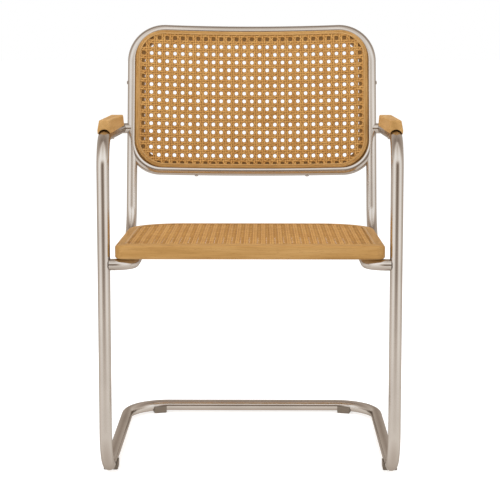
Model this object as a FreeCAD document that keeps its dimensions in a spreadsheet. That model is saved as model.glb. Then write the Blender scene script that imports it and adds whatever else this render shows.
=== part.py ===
import FreeCAD, Part
import math
import os
import Sketcher

# Study chair: a cantilever frame of bent steel tube that carries a caned wooden
# seat, a caned and bowed wooden backrest and two wooden arm pads.
# The chair faces -Y, X = 0 is its plane of symmetry and Z = 0 is the floor.
# The origin lies on the floor under the middle of the whole chair.

V = FreeCAD.Vector
doc = FreeCAD.newDocument("StudyChair")
sheet = doc.addObject("Spreadsheet::Sheet", "Dimensions")

# Driving dimensions, in millimetres and degrees.
SIZES = [
    # Floor loop, legs and arms, one bent tube
    ("base_tube", 24, "outer diameter of the leg, floor and arm tube"),
    ("base_wall", 2, "wall of that tube"),
    ("leg_half_span", 276, "leg axis from the middle plane"),
    ("runner_length", 552, "leg axis to rear floor rail axis"),
    ("leg_bend", 88, "centreline radius from leg to runner"),
    ("rear_bend", 88, "centreline radius of the rear floor corners"),
    ("arm_bend", 60, "centreline radius from leg to arm"),
    ("arm_corner_height", 666.4, "height where leg and arm axes meet"),
    ("arm_fall", 2, "angle by which the arm falls to the rear"),
    ("arm_flare", 8, "sideways run of the arm axis up to its stub"),
    ("arm_tail", 14, "arm tube past the axis of its stub"),
    # Seat and back loop, one bent tube, and its lower rail
    ("back_tube", 22, "outer diameter of the seat and back tube"),
    ("back_wall", 2, "wall of that tube"),
    ("stub_height", 424.5, "height of the seat stub on the leg"),
    ("stub_bend", 38, "centreline radius from stub to seat rail"),
    ("rail_inset", 54, "front of the seat rail inboard of the leg axis"),
    ("rail_fall", 1.6, "angle by which seat and rails fall to the rear"),
    ("flare_start", 110, "leg axis to the first point of the rail's flare"),
    ("flare_end", 300, "leg axis to the second point of the rail's flare"),
    ("flare_bend", 250, "centreline radius of both flare bends"),
    ("upright_inset", 18, "upright axis inboard of the leg axis"),
    ("upright_bend", 88, "centreline radius from rail to upright"),
    ("upright_setback", 460, "leg axis to upright axis at the arm stub"),
    ("recline", 12, "lean of the uprights from the vertical"),
    ("top_rise", 218.3, "arm stub up the upright to the top rail"),
    ("top_bend", 72, "centreline radius of the top corners"),
    ("back_bow", 1000, "plan radius of the bowed back"),
    ("low_drop", 88.9, "arm stub down the upright to the lower rail"),
    ("low_inset", 11, "corner of the lower rail inboard of the upright axis"),
    ("low_bend", 60, "centreline radius of the lower rail's corners"),
    ("low_rise", 54, "lower rail up to where its ends meet the uprights"),
    # Seat
    ("seat_side_gap", 21, "side of the seat frame inboard of the leg axis"),
    ("seat_depth", 418, "front to rear of the seat frame"),
    ("seat_thick", 26.5, "thickness of the seat frame"),
    ("seat_nose", 14, "seat front ahead of the leg axis"),
    ("seat_front_corner", 18, "front corner radius in plan"),
    ("seat_rear_corner", 110, "rear corner radius in plan"),
    ("seat_round", 5, "roundover of the seat's edges"),
    ("seat_border", 17, "wood around the spline"),
    ("seat_rail_width", 45, "full width of the wooden seat rails"),
    ("cane_front_corner", 12, "front corner radius of the spline"),
    ("seat_rows", 12, "gaps of the seat net, front to rear"),
    ("seat_columns", 12, "gaps of the seat net, side to side"),
    # Backrest
    ("frame_side_gap", 8, "side of the backrest frame inboard of the upright axis"),
    ("frame_top_gap", 2.5, "top edge below the top rail's axis"),
    ("frame_low_gap", 4.5, "bottom edge above the lower rail's axis"),
    ("frame_corner", 62, "outer corner radius of the backrest frame"),
    ("frame_ahead", 13.5, "front face ahead of the tube axis"),
    ("frame_behind", 8, "rear face behind the tube axis"),
    ("frame_chamfer", 2, "chamfer along the front edge"),
    ("frame_border", 5.2, "wood around the spline"),
    ("frame_rail_width", 17.5, "full width of the side and lower back rails"),
    ("frame_top_rail", 20, "full width of the upper back rail"),
    ("back_rows", 9, "gaps of the back net, up"),
    ("back_columns", 16, "gaps of the back net, across"),
    # Cane and spline
    ("cane_thick", 1.6, "thickness of the woven cane"),
    ("cane_bar", 5, "width of the strands between two gaps"),
    ("spline_width", 4.5, "width of the spline"),
    ("spline_depth", 4.5, "depth of the spline's groove"),
    ("spline_crown", 0.7, "spline above the face"),
    ("spline_chamfer", 0.5, "chamfer along the spline"),
    # Arm pads
    ("pad_start", 42, "leg axis to the front of the pad"),
    ("pad_length", 248, "front to rear of the pad"),
    ("pad_front_rise", 29.7, "pad top above the arm axis at the front"),
    ("pad_rear_rise", 33.8, "pad top above the arm axis at the rear"),
    ("pad_outer", 13.5, "pad side outboard of the arm axis at the front"),
    ("pad_front_inner", 12.5, "pad side inboard of the arm axis, front"),
    ("pad_rear_outer", 10.5, "pad side outboard of the arm axis, rear"),
    ("pad_rear_inner", 20.5, "pad side inboard of the arm axis, rear"),
    ("pad_outer_foot", 10.5, "outer lower edge above the arm axis"),
    ("pad_lip", 3, "tip of the outer lip above the arm axis"),
    ("pad_lip_inset", 1, "tip of the outer lip inboard of the outer side"),
    ("pad_inner_foot", 5, "inner lower edge above the arm axis, front"),
    ("pad_rear_foot", 12, "inner lower edge above the arm axis, rear"),
    ("pad_outer_lean", 3.5, "how far the outer side draws in to the top"),
    ("pad_lean", 2, "how far the inner side draws in to the top"),
    ("pad_round", 3, "roundover of the pad"),
    # Glides
    ("glide_base", 3, "plastic between tube and floor"),
    ("glide_side", 2, "plastic beside the tube"),
    ("glide_outer_rise", 9, "outer flank above the floor"),
    ("glide_inner_rise", 15.5, "inner flank above the floor"),
    ("glide_length", 33, "length of a front glide"),
    ("rear_glide_length", 28, "length of a rear glide"),
    ("rear_glide_inset", 66, "rear glide inboard of the leg axis"),
    ("glide_chamfer", 1.5, "chamfer around the foot of a glide"),
    ("bend_ease", 1, "rear glide's trough widened for the bend"),
    # Plugs and screws
    ("plug_cap", 2.4, "thickness of the end plug's cap"),
    ("plug_spigot", 14, "length of the end plug's spigot"),
    ("plug_chamfer", 1.2, "chamfer around the plug's cap"),
    ("screw_shank", 4.4, "diameter of a screw's shank"),
    ("screw_head", 7.6, "diameter of a screw's head"),
    ("screw_head_thick", 1.8, "thickness of a screw's head"),
    ("screw_chamfer", 0.8, "chamfer around a screw's head"),
    ("screw_bite", 9, "screw length past the tube"),
    ("seat_screw_front", 62, "leg axis to the front seat screws"),
    ("seat_screw_rear", 262, "leg axis to the rear seat screws"),
    ("pad_screw_inset", 52, "pad ends to the arm pad screws"),
    ("back_screw_span", 120, "lower back screws from the middle plane"),
    ("back_screw_rise", 100, "upper back screws above the arm stub"),
    # Clearances and the overrun of cuts
    ("weld_gap", 0.2, "coped end to the tube that it meets"),
    ("rest_gap", 0.2, "wood, plug or glide to the tube that it sits on"),
    ("fit_gap", 0.15, "screw, cane and spline to their holes and grooves"),
    ("overrun", 5, "length by which a cutting solid passes its work"),
]
for row, (alias, size, note) in enumerate(SIZES, start=1):
    sheet.set("A%d" % row, alias)
    sheet.set("B%d" % row, str(size))
    sheet.set("C%d" % row, note)
    sheet.setAlias("B%d" % row, alias)
doc.recompute()

# Distances from the middle plane, each tied to the span of the legs.
SPANS = [
    ("rail_half_span", "leg_half_span - rail_inset"),
    ("upright_half_span", "leg_half_span - upright_inset"),
    ("low_half_span", "upright_half_span - low_inset"),
    ("seat_half_width", "leg_half_span - seat_side_gap"),
    ("frame_half_width", "upright_half_span - frame_side_gap"),
    ("rear_glide_span", "leg_half_span - rear_glide_inset"),
]
for row, (alias, formula) in enumerate(SPANS, start=len(SIZES) + 1):
    sheet.set("A%d" % row, alias)
    sheet.set("B%d" % row, "=" + formula)
    sheet.setAlias("B%d" % row, alias)
    doc.recompute()


def val(alias):
    return float(sheet.get(alias))


def half(alias):
    return val(alias) / 2


def bind(obj, prop, formula):
    # Words in braces are sheet aliases.
    obj.setExpression(prop, formula.replace("{", "Dimensions.").replace("}", ""))


# Places that several pieces share.
front_y = -(val("runner_length") + half("base_tube") - val("seat_nose")) / 2
rear_y = front_y + val("runner_length")
floor_z = val("glide_base") + half("base_tube")
arm_slope = math.tan(math.radians(val("arm_fall")))
rail_slope = math.tan(math.radians(val("rail_fall")))
lean = math.radians(val("recline"))
upright_y = front_y + val("upright_setback")
stub_z = val("arm_corner_height") - val("upright_setback") * arm_slope


def arm_point(setback):
    # A point of the left arm's axis at a distance behind the leg axis.
    side = val("leg_half_span") + val("arm_flare") * setback / val("upright_setback")
    return V(-side, front_y + setback, val("arm_corner_height") - setback * arm_slope)


def rail_point(side, setback):
    # A point of the left seat rail's axis.
    return V(-side, front_y + setback, val("stub_height") - setback * rail_slope)


# The back's own frame: x across, y to the rear and z up the uprights,
# with its origin between the uprights at the height of the arm stubs.
back_place = FreeCAD.Placement(V(0, upright_y, stub_z),
                               FreeCAD.Rotation(V(1, 0, 0), -val("recline")))
# The seat's own frame: its origin is the front edge of the underside, and its
# flat underside rests on top of the rails.
seat_drop = (half("back_tube") + val("rest_gap")) / math.cos(math.radians(val("rail_fall")))
seat_place = FreeCAD.Placement(
    V(0, front_y - val("seat_nose"),
      val("stub_height") + seat_drop + val("seat_nose") * rail_slope),
    FreeCAD.Rotation(V(1, 0, 0), -val("rail_fall")))


def back_point(side, rise, behind=0):
    return back_place.multVec(V(side, behind, rise))


def mirror_points(points):
    return [V(-p.x, p.y, p.z) for p in reversed(points)]


def bent_wire(points, radii):
    # Straight runs joined by tangent arcs, one radius for each inner point.
    edges = []
    start = points[0]
    for before, corner, after, radius in zip(points, points[1:], points[2:], radii):
        back = (before - corner).normalize()
        ahead = (after - corner).normalize()
        turn = math.pi - back.getAngle(ahead)
        reach = radius * math.tan(turn / 2)
        middle = (back + ahead).normalize()
        centre = corner + middle * (radius / math.cos(turn / 2))
        edges.append(Part.LineSegment(start, corner + back * reach).toShape())
        edges.append(Part.Arc(corner + back * reach, centre - middle * radius,
                              corner + ahead * reach).toShape())
        start = corner + ahead * reach
    edges.append(Part.LineSegment(start, points[-1]).toShape())
    return Part.Wire(edges)


def path_feature(name, points, radii):
    path = doc.addObject("Part::Feature", name)
    path.Shape = bent_wire(points, radii)
    path.addProperty("App::PropertyVector", "Start")
    path.addProperty("App::PropertyVector", "Heading")
    path.Start = points[0]
    path.Heading = points[1] - points[0]
    return path


def swept(name, path, radius_formula):
    circle = doc.addObject("Part::Circle", name + "Section")
    bind(circle, "Radius", radius_formula)
    circle.Placement = FreeCAD.Placement(path.Start,
                                         FreeCAD.Rotation(V(0, 0, 1), path.Heading))
    sweep = doc.addObject("Part::Sweep", name)
    sweep.Sections = [circle]
    sweep.Spine = (path, [])
    sweep.Solid = True
    sweep.Frenet = False
    return sweep


def cut(name, base, tool):
    part = doc.addObject("Part::Cut", name)
    part.Base = base
    part.Tool = tool
    return part


def join(name, shapes):
    part = doc.addObject("Part::MultiFuse", name)
    part.Shapes = shapes
    return part


def cylinder(name, radius_formula, start, end, before=0, beyond=0):
    # A round bar from start to end, lengthened at both ends as asked.
    heading = end - start
    length = heading.Length
    heading.normalize()
    bar = doc.addObject("Part::Cylinder", name)
    bind(bar, "Radius", radius_formula)
    bar.Height = length + before + beyond
    bar.Placement = FreeCAD.Placement(start - heading * before,
                                      FreeCAD.Rotation(V(0, 0, 1), heading))
    return bar


def mirrored(name, source):
    part = doc.addObject("Part::Mirroring", name)
    part.Source = source
    part.Base = V(0, 0, 0)
    part.Normal = V(1, 0, 0)
    return part


pieces = []


def keep(part, label):
    part.Label = label
    pieces.append(part)
    return part


def origin_plane(body, role):
    return [f for f in body.Origin.OriginFeatures if f.Role == role][0]


def new_sketch(body, name, role, offset=None):
    sketch = body.newObject("Sketcher::SketchObject", name)
    sketch.AttachmentSupport = [(origin_plane(body, role), "")]
    sketch.MapMode = "FlatFace"
    if offset is not None:
        sketch.AttachmentOffset = FreeCAD.Placement(V(0, 0, offset), FreeCAD.Rotation())
    return sketch


def rounded_outline(sketch, sizes):
    # Four lines and four arcs, alike on both sides of the vertical axis.
    # The sizes are formulas: width, front, depth, front_corner, rear_corner.
    wide = sizes["start"][0] / 2
    low = sizes["start"][1]
    high = low + sizes["start"][2]
    near = sizes["start"][3]
    far = sizes["start"][4]
    quarter = math.pi / 2
    z = V(0, 0, 1)

    def corner(x, y, radius, turn):
        circle = Part.Circle(V(x, y, 0), z, radius)
        return Part.ArcOfCircle(circle, turn * quarter, (turn + 1) * quarter)

    sketch.addGeometry([
        Part.LineSegment(V(near - wide, low, 0), V(wide - near, low, 0)),
        corner(wide - near, low + near, near, 3),
        Part.LineSegment(V(wide, low + near, 0), V(wide, high - far, 0)),
        corner(wide - far, high - far, far, 0),
        Part.LineSegment(V(wide - far, high, 0), V(far - wide, high, 0)),
        corner(far - wide, high - far, far, 1),
        Part.LineSegment(V(-wide, high - far, 0), V(-wide, low + near, 0)),
        corner(near - wide, low + near, near, 2),
    ], False)
    count = sketch.GeometryCount - 8
    for side in range(8):
        after = count + (side + 1) % 8
        sketch.addConstraint(Sketcher.Constraint("Tangent", count + side, 2, after, 1))
    sketch.addConstraint(Sketcher.Constraint("Horizontal", count + 4))
    for tall in (2, 6):
        sketch.addConstraint(Sketcher.Constraint("Vertical", count + tall))
    sketch.addConstraint(Sketcher.Constraint("Symmetric", count, 1, count, 2, -2))
    sketch.addConstraint(Sketcher.Constraint("Equal", count + 1, count + 7))
    sketch.addConstraint(Sketcher.Constraint("Equal", count + 3, count + 5))
    measures = [
        ("width", ("DistanceX", count + 6, 2, count + 2, 1), wide * 2),
        ("depth", ("DistanceY", count, 1, count + 4, 1), high - low),
        ("front_corner", ("Radius", count + 1), near),
        ("rear_corner", ("Radius", count + 3), far),
    ]
    if low:
        measures.append(("front", ("DistanceY", -1, 1, count, 1), low))
    else:
        sketch.addConstraint(Sketcher.Constraint("PointOnObject", count, 1, -1))
    for name, what, size in measures:
        index = sketch.addConstraint(Sketcher.Constraint(*what, size))
        sketch.renameConstraint(index, "%s_%d" % (name, count))
        bind(sketch, "Constraints.%s_%d" % (name, count), sizes[name])


def seat_outline(inset_aliases, front_corner=None, ease=0):
    # The seat's outline drawn in by the sum of some named sizes, with the
    # fit gap added (1) or taken off (-1) on request.
    inset = sum(val(alias) for alias in inset_aliases) + ease * val("fit_gap")
    spread = " + ".join("{%s}" % alias for alias in inset_aliases) or "0"
    if ease:
        spread = "%s + %d * {fit_gap}" % (spread, ease)
    near = "{seat_front_corner}" if front_corner is None else front_corner[0]
    near_size = val("seat_front_corner") if front_corner is None else front_corner[1]
    return {
        "width": "2 * ({seat_half_width} - (%s))" % spread,
        "front": spread,
        "depth": "{seat_depth} - 2 * (%s)" % spread,
        "front_corner": near,
        "rear_corner": "{seat_rear_corner} - (%s)" % spread,
        "start": (2 * (val("seat_half_width") - inset), inset,
                  val("seat_depth") - 2 * inset, near_size,
                  val("seat_rear_corner") - inset),
    }


# Floor loop, legs and arms: one hollow tube bent at six places.
tail = arm_point(val("upright_setback") + val("arm_tail"))
left_run = [
    tail,
    V(-val("leg_half_span"), front_y, val("arm_corner_height")),
    V(-val("leg_half_span"), front_y, floor_z),
    V(-val("leg_half_span"), rear_y, floor_z),
]
base_radii = [val("arm_bend"), val("leg_bend"), val("rear_bend")]
base_path = path_feature("BasePath", left_run + mirror_points(left_run),
                         base_radii + base_radii[::-1])
base_outer = swept("BaseOuter", base_path, "{base_tube} / 2")
base_bore = swept("BaseBore", base_path, "{base_tube} / 2 - {base_wall}")
base_hollow = cut("BaseHollow", base_outer, base_bore)

# Seat rails, uprights and top rail: one hollow tube. Its front ends are coped
# to the legs, the rails flare out under the seat to clear its rear corners,
# and the top rail is bowed to the rear.
rail_end = (upright_y - front_y
            - (stub_z - val("stub_height")) * math.tan(lean))
rail_end = rail_end / (1 + rail_slope * math.tan(lean))
bow_angle = math.asin((val("upright_half_span") - val("top_bend")) / val("back_bow"))
bow_depth = val("upright_half_span") * math.tan(bow_angle)
left_loop = [
    rail_point(val("leg_half_span"), 0),
    rail_point(val("rail_half_span"), 0),
    rail_point(val("rail_half_span"), val("flare_start")),
    rail_point(val("upright_half_span"), val("flare_end")),
    rail_point(val("upright_half_span"), rail_end),
    back_point(-val("upright_half_span"), val("top_rise")),
]
loop_radii = [val("stub_bend"), val("flare_bend"), val("flare_bend"),
              val("upright_bend"), val("top_bend")]
loop_middle = [back_point(0, val("top_rise"), bow_depth)]
loop_path = path_feature("LoopPath", left_loop + loop_middle + mirror_points(left_loop),
                         loop_radii + [val("back_bow")] + loop_radii[::-1])
loop_outer = swept("LoopOuter", loop_path, "{back_tube} / 2")
loop_bore = swept("LoopBore", loop_path, "{back_tube} / 2 - {back_wall}")
loop_hollow = cut("LoopHollow", loop_outer, loop_bore)

leg_cope = []
for hand, side in (("Left", -1), ("Right", 1)):
    foot = V(side * val("leg_half_span"), front_y, floor_z + val("leg_bend"))
    head = V(side * val("leg_half_span"), front_y, val("arm_corner_height"))
    leg_cope.append(cylinder("LegCope" + hand, "{base_tube} / 2 + {weld_gap}", foot, head))
loop_coped = cut("LoopCoped", loop_hollow, join("LegCopes", leg_cope))

# Lower back rail: bowed like the top rail. Its ends rise and lean outwards
# until they are coped into the inner sides of the uprights.
low_bow = math.asin((val("low_half_span") - val("low_bend")) / val("back_bow"))
bow_centre = (val("top_bend") * math.sin(bow_angle)
              - math.sqrt(val("back_bow") ** 2
                          - (val("upright_half_span")
                             - val("top_bend") * math.cos(bow_angle)) ** 2))
low_middle = bow_centre + val("back_bow") / math.cos(low_bow)
low_corner = low_middle - val("low_half_span") * math.tan(low_bow)
left_low = [
    back_point(-val("upright_half_span"), val("low_rise") - val("low_drop")),
    back_point(-val("low_half_span"), -val("low_drop"), low_corner),
]
low_path = path_feature("LowPath",
                        left_low + [back_point(0, -val("low_drop"), low_middle)]
                        + mirror_points(left_low),
                        [val("low_bend"), val("back_bow"), val("low_bend")])
low_outer = swept("LowOuter", low_path, "{back_tube} / 2")
low_bore = swept("LowBore", low_path, "{back_tube} / 2 - {back_wall}")
low_hollow = cut("LowHollow", low_outer, low_bore)
upright_cope = []
for hand, side in (("Left", -1), ("Right", 1)):
    low_end = back_point(side * val("upright_half_span"), -val("low_drop"))
    high_end = back_point(side * val("upright_half_span"), val("top_rise") - val("top_bend"))
    upright_cope.append(cylinder("UprightCope" + hand, "{back_tube} / 2 + {weld_gap}",
                                 low_end, high_end, val("back_tube"), 0))
low_coped = cut("LowCoped", low_hollow, join("UprightCopes", upright_cope))

# Arm stub: a short cross tube between arm and upright, coped at both ends.
stub_start = arm_point(val("upright_setback"))
stub_end = V(-val("upright_half_span"), upright_y, stub_z)
stub_bar = cylinder("StubBar", "{back_tube} / 2", stub_start, stub_end)
stub_bore = cylinder("StubBore", "{back_tube} / 2 - {back_wall}", stub_start, stub_end,
                     val("overrun"), val("overrun"))
arm_cope = cylinder("ArmCope", "{base_tube} / 2 + {weld_gap}",
                    arm_point(val("pad_start") + val("pad_length")), tail,
                    0, val("overrun"))
stub_cope = join("StubCopes", [arm_cope, upright_cope[0]])
left_stub = keep(cut("StubLeft", cut("StubHollow", stub_bar, stub_bore), stub_cope),
                 "arm_stub_left")
keep(mirrored("StubRight", left_stub), "arm_stub_right")

# End plug: a bevelled cap with a spigot that fills the open end of the arm tube.
arm_axis = (tail - arm_point(0)).normalize()
plug = doc.addObject("PartDesign::Body", "PlugLeft")
plug_sketch = new_sketch(plug, "PlugProfile", "XZ_Plane")
cap = half("base_tube")
spigot = half("base_tube") - val("base_wall") - val("fit_gap")
corners = [(0, -val("plug_spigot")), (spigot, -val("plug_spigot")), (spigot, 0), (cap, 0),
           (cap, val("plug_cap")), (0, val("plug_cap"))]
lines = [Part.LineSegment(V(*a, 0), V(*b, 0)) for a, b in zip(corners, corners[1:] + corners[:1])]
plug_sketch.addGeometry(lines, False)
for side in range(6):
    plug_sketch.addConstraint(Sketcher.Constraint("Coincident", side, 2, (side + 1) % 6, 1))
for flat in (0, 2, 4):
    plug_sketch.addConstraint(Sketcher.Constraint("Horizontal", flat))
for tall in (1, 3):
    plug_sketch.addConstraint(Sketcher.Constraint("Vertical", tall))
plug_sketch.addConstraint(Sketcher.Constraint("PointOnObject", 0, 1, -2))
plug_sketch.addConstraint(Sketcher.Constraint("PointOnObject", 4, 2, -2))
plug_sketch.addConstraint(Sketcher.Constraint("PointOnObject", 2, 1, -1))
for name, what, size, formula in (
        ("spigot_length", ("DistanceY", 1, 1, 1, 2), val("plug_spigot"), "{plug_spigot}"),
        ("spigot_radius", ("DistanceX", 0, 1, 0, 2), spigot,
         "{base_tube} / 2 - {base_wall} - {fit_gap}"),
        ("cap_radius", ("DistanceX", 4, 2, 4, 1), cap, "{base_tube} / 2"),
        ("cap_thick", ("DistanceY", 3, 1, 3, 2), val("plug_cap"), "{plug_cap}")):
    index = plug_sketch.addConstraint(Sketcher.Constraint(*what, size))
    plug_sketch.renameConstraint(index, name)
    bind(plug_sketch, "Constraints." + name, formula)
plug_turn = plug.newObject("PartDesign::Revolution", "PlugTurn")
plug_turn.Profile = plug_sketch
plug_turn.ReferenceAxis = (plug_sketch, ["V_Axis"])
doc.recompute()
rim = [e for e in plug_turn.Shape.Edges
       if hasattr(e.Curve, "Radius") and abs(e.Curve.Radius - cap) < val("fit_gap")
       and e.CenterOfMass.z > half("plug_cap")]
rim_name = [n + 1 for n, e in enumerate(plug_turn.Shape.Edges) if any(e.isSame(r) for r in rim)]
plug_bevel = plug.newObject("PartDesign::Chamfer", "PlugBevel")
plug_bevel.Base = (plug_turn, ["Edge%d" % n for n in rim_name])
bind(plug_bevel, "Size", "{plug_chamfer}")
plug.Tip = plug_bevel
plug.Placement = FreeCAD.Placement(tail + arm_axis * val("fit_gap"),
                                   FreeCAD.Rotation(V(0, 0, 1), arm_axis))
keep(plug, "arm_end_plug_left")
keep(mirrored("PlugRight", plug), "arm_end_plug_right")

# Seat frame: a wooden ring with a flat rabbet for the cane and a groove for
# the spline around it, both sunk from the top.
seat = doc.addObject("PartDesign::Body", "SeatFrame")
seat_sketch = new_sketch(seat, "SeatOutline", "XY_Plane")
rounded_outline(seat_sketch, seat_outline([]))
seat_pad = seat.newObject("PartDesign::Pad", "SeatBoard")
seat_pad.Profile = seat_sketch
bind(seat_pad, "Length", "{seat_thick}")
doc.recompute()


def flat_edges(shape, height):
    # Names of the edges that lie at one height.
    return ["Edge%d" % (n + 1) for n, e in enumerate(shape.Edges)
            if abs(e.BoundBox.ZMin - height) < val("fit_gap")
            and abs(e.BoundBox.ZMax - height) < val("fit_gap")]


seat_fillet = seat.newObject("PartDesign::Fillet", "SeatRoundover")
seat_fillet.Base = (seat_pad, flat_edges(seat_pad.Shape, 0)
                    + flat_edges(seat_pad.Shape, val("seat_thick")))
bind(seat_fillet, "Radius", "{seat_round}")
doc.recompute()

inner_cane = ["seat_border", "spline_width"]
groove_corner = ("{cane_front_corner}", val("cane_front_corner"))
cane_corner = ("{cane_front_corner} - {spline_width}",
               val("cane_front_corner") - val("spline_width"))


def seat_pocket(name, outlines, depth_formula):
    sketch = new_sketch(seat, name + "Outline", "XY_Plane", 0)
    sketch.setExpression("AttachmentOffset.Base.z", "Dimensions.seat_thick")
    for outline in outlines:
        rounded_outline(sketch, outline)
    pocket = seat.newObject("PartDesign::Pocket", name)
    pocket.Profile = sketch
    pocket.Type = "Length"
    bind(pocket, "Length", depth_formula)
    doc.recompute()
    return pocket


seat_pocket("SeatOpening", [seat_outline(["seat_rail_width"], cane_corner)],
            "{seat_thick} + {overrun}")
seat_pocket("SeatRabbet", [seat_outline(["seat_border"], groove_corner)],
            "{cane_thick} + {fit_gap}")
seat_pocket("SeatGroove", [seat_outline(["seat_border"], groove_corner),
                           seat_outline(inner_cane, cane_corner)],
            "{spline_depth}")
seat.Placement = seat_place

# Rectangular outlines for the caned panels, in the plane of the panel.


def rounded_wire(half_width, low, high, near, far, upright=False):
    # A closed outline with near corners below and far corners above.
    turns = [(half_width, low, near, -1, 1), (half_width, high, far, -1, -1),
             (-half_width, high, far, 1, -1), (-half_width, low, near, 1, 1)]
    diagonal = 1 - math.sqrt(0.5)
    edges = []
    stops = []
    for place, (x, y, radius, inward, upward) in enumerate(turns):
        flat = V(x + inward * radius, y, 0)
        tall = V(x, y + upward * radius, 0)
        middle = V(x + inward * radius * diagonal, y + upward * radius * diagonal, 0)
        first, last = (flat, tall) if place % 2 == 0 else (tall, flat)
        stops.append((first, middle, last))
    for this, after in zip(stops, stops[1:] + stops[:1]):
        edges.append(Part.Arc(*this))
        edges.append(Part.LineSegment(this[2], after[0]))
    wire = Part.Wire([edge.toShape() for edge in edges])
    if upright:
        wire.rotate(V(0, 0, 0), V(1, 0, 0), 90)
    return wire


def holed_face(wires):
    # The first wire is the outline and the others are holes in it.
    return Part.makeFace(wires, "Part::FaceMakerBullseye")


def net_gaps(half_width, low, high, columns, rows, bar, rim):
    # Square gaps in even columns and rows, with a rim of plain weave.
    across = 2 * (half_width - rim)
    up = high - low - 2 * rim
    pitch_x = (across + bar) / columns
    pitch_y = (up + bar) / rows
    gaps = []
    for column in range(columns):
        for row in range(rows):
            x = -half_width + rim + column * pitch_x
            y = low + rim + row * pitch_y
            corners = [V(x, y, 0), V(x + pitch_x - bar, y, 0),
                       V(x + pitch_x - bar, y + pitch_y - bar, 0), V(x, y + pitch_y - bar, 0)]
            gaps.append(Part.makePolygon(corners + corners[:1]))
    return gaps


def clear_of_corners(gap, half_width, low, high, near, far):
    # Gaps that would cross a round corner are left as plain weave.
    for point in gap.Vertexes:
        upper = point.Y > (low + high) / 2
        radius = far if upper else near
        x = abs(point.X) - half_width + radius
        y = point.Y - high + radius if upper else low + radius - point.Y
        if x > 0 and y > 0 and math.hypot(x, y) > radius - val("cane_bar"):
            return False
    return True


# Seat cane: one sheet with rows of open gaps, laid in the rabbet.
cane_inset = val("seat_border") + val("spline_width") + val("fit_gap")
cane_size = (val("seat_half_width") - cane_inset, cane_inset, val("seat_depth") - cane_inset)
cane_rounds = (val("cane_front_corner") - val("spline_width"),
               val("seat_rear_corner") - cane_inset)
cane_outline = rounded_wire(*cane_size, *cane_rounds)
rim_width = val("seat_rail_width") - cane_inset + val("cane_bar")
cane_gaps = net_gaps(*cane_size, int(val("seat_columns")), int(val("seat_rows")),
                     val("cane_bar"), rim_width)
cane_gaps = [gap for gap in cane_gaps if clear_of_corners(gap, *cane_size, *cane_rounds)]
seat_cane = doc.addObject("Part::Feature", "SeatCane")
seat_cane.Shape = holed_face([cane_outline] + cane_gaps).extrude(V(0, 0, val("cane_thick")))
lift = FreeCAD.Placement(V(0, 0, val("seat_thick") - val("cane_thick")), FreeCAD.Rotation())
seat_cane.Placement = seat_place.multiply(lift)
keep(seat_cane, "seat_cane")

# Seat spline: a closed strip pressed into the groove over the cane's edge.
spline = doc.addObject("PartDesign::Body", "SeatSpline")
spline_sketch = new_sketch(spline, "SplineOutline", "XY_Plane", 0)
bind(spline_sketch, "AttachmentOffset.Base.z", "{seat_thick} - {spline_depth} + {fit_gap}")
rounded_outline(spline_sketch, seat_outline(["seat_border"], groove_corner, 1))
rounded_outline(spline_sketch, seat_outline(inner_cane, cane_corner, -1))
spline_pad = spline.newObject("PartDesign::Pad", "SplineStrip")
spline_pad.Profile = spline_sketch
bind(spline_pad, "Length", "{spline_depth} + {spline_crown} - {fit_gap}")
doc.recompute()
spline_bevel = spline.newObject("PartDesign::Chamfer", "SplineBevel")
spline_bevel.Base = (spline_pad, flat_edges(spline_pad.Shape,
                                            val("seat_thick") + val("spline_crown")))
bind(spline_bevel, "Size", "{spline_chamfer}")
spline.Tip = spline_bevel
spline.Placement = seat_place
keep(spline, "seat_cane_spline")

# Backrest: bowed wood, cane and spline. Each piece is an upright outline cut
# from a slab between two concentric cylinders.


def bowed_slab(ahead, behind):
    # Distances are from the bowed surface through the tube axes.
    height = val("top_rise") + val("low_drop") + 2 * val("back_tube")
    base = V(0, bow_centre, -val("low_drop") - val("back_tube"))
    outer = Part.makeCylinder(val("back_bow") + behind, height, base)
    inner = Part.makeCylinder(val("back_bow") - ahead, height, base)
    return outer.cut(inner)


def upright_prism(wires):
    # A thick plate through the bowed slab, from wires in the XZ plane.
    reach = bow_depth + val("frame_ahead") + val("back_tube") + val("overrun")
    face = holed_face(wires)
    face.translate(V(0, -reach, 0))
    return face.extrude(V(0, 2 * reach, 0))


frame_low = val("frame_low_gap") - val("low_drop")
frame_high = val("top_rise") - val("frame_top_gap")


def back_outline(inset):
    corner = max(val("frame_corner") - inset, val("cane_front_corner"))
    return rounded_wire(val("frame_half_width") - inset, frame_low + inset,
                        frame_high - inset, corner, corner, True)


# The tubes' runs in the back's own frame.
high_corner = V(-val("upright_half_span"), 0, val("top_rise"))
upper_run = [high_corner - V(0, 0, val("top_rise") + val("low_drop") + val("back_tube")),
             high_corner, V(0, bow_depth, val("top_rise"))]
upper_run = upper_run + mirror_points(upper_run[:2])
low_run = [V(-val("upright_half_span"), 0, val("low_rise") - val("low_drop")),
           V(-val("low_half_span"), low_corner, -val("low_drop")),
           V(0, low_middle, -val("low_drop"))]
low_run = low_run + mirror_points(low_run[:2])


def nest(points, radii):
    # A bar a little thicker than the tube that follows these points.
    heading = points[1] - points[0]
    radius = half("back_tube") + val("rest_gap")
    section = Part.Wire([Part.Circle(points[0], heading, radius).toShape()])
    return bent_wire(points, radii).makePipeShell([section], True, False)


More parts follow.
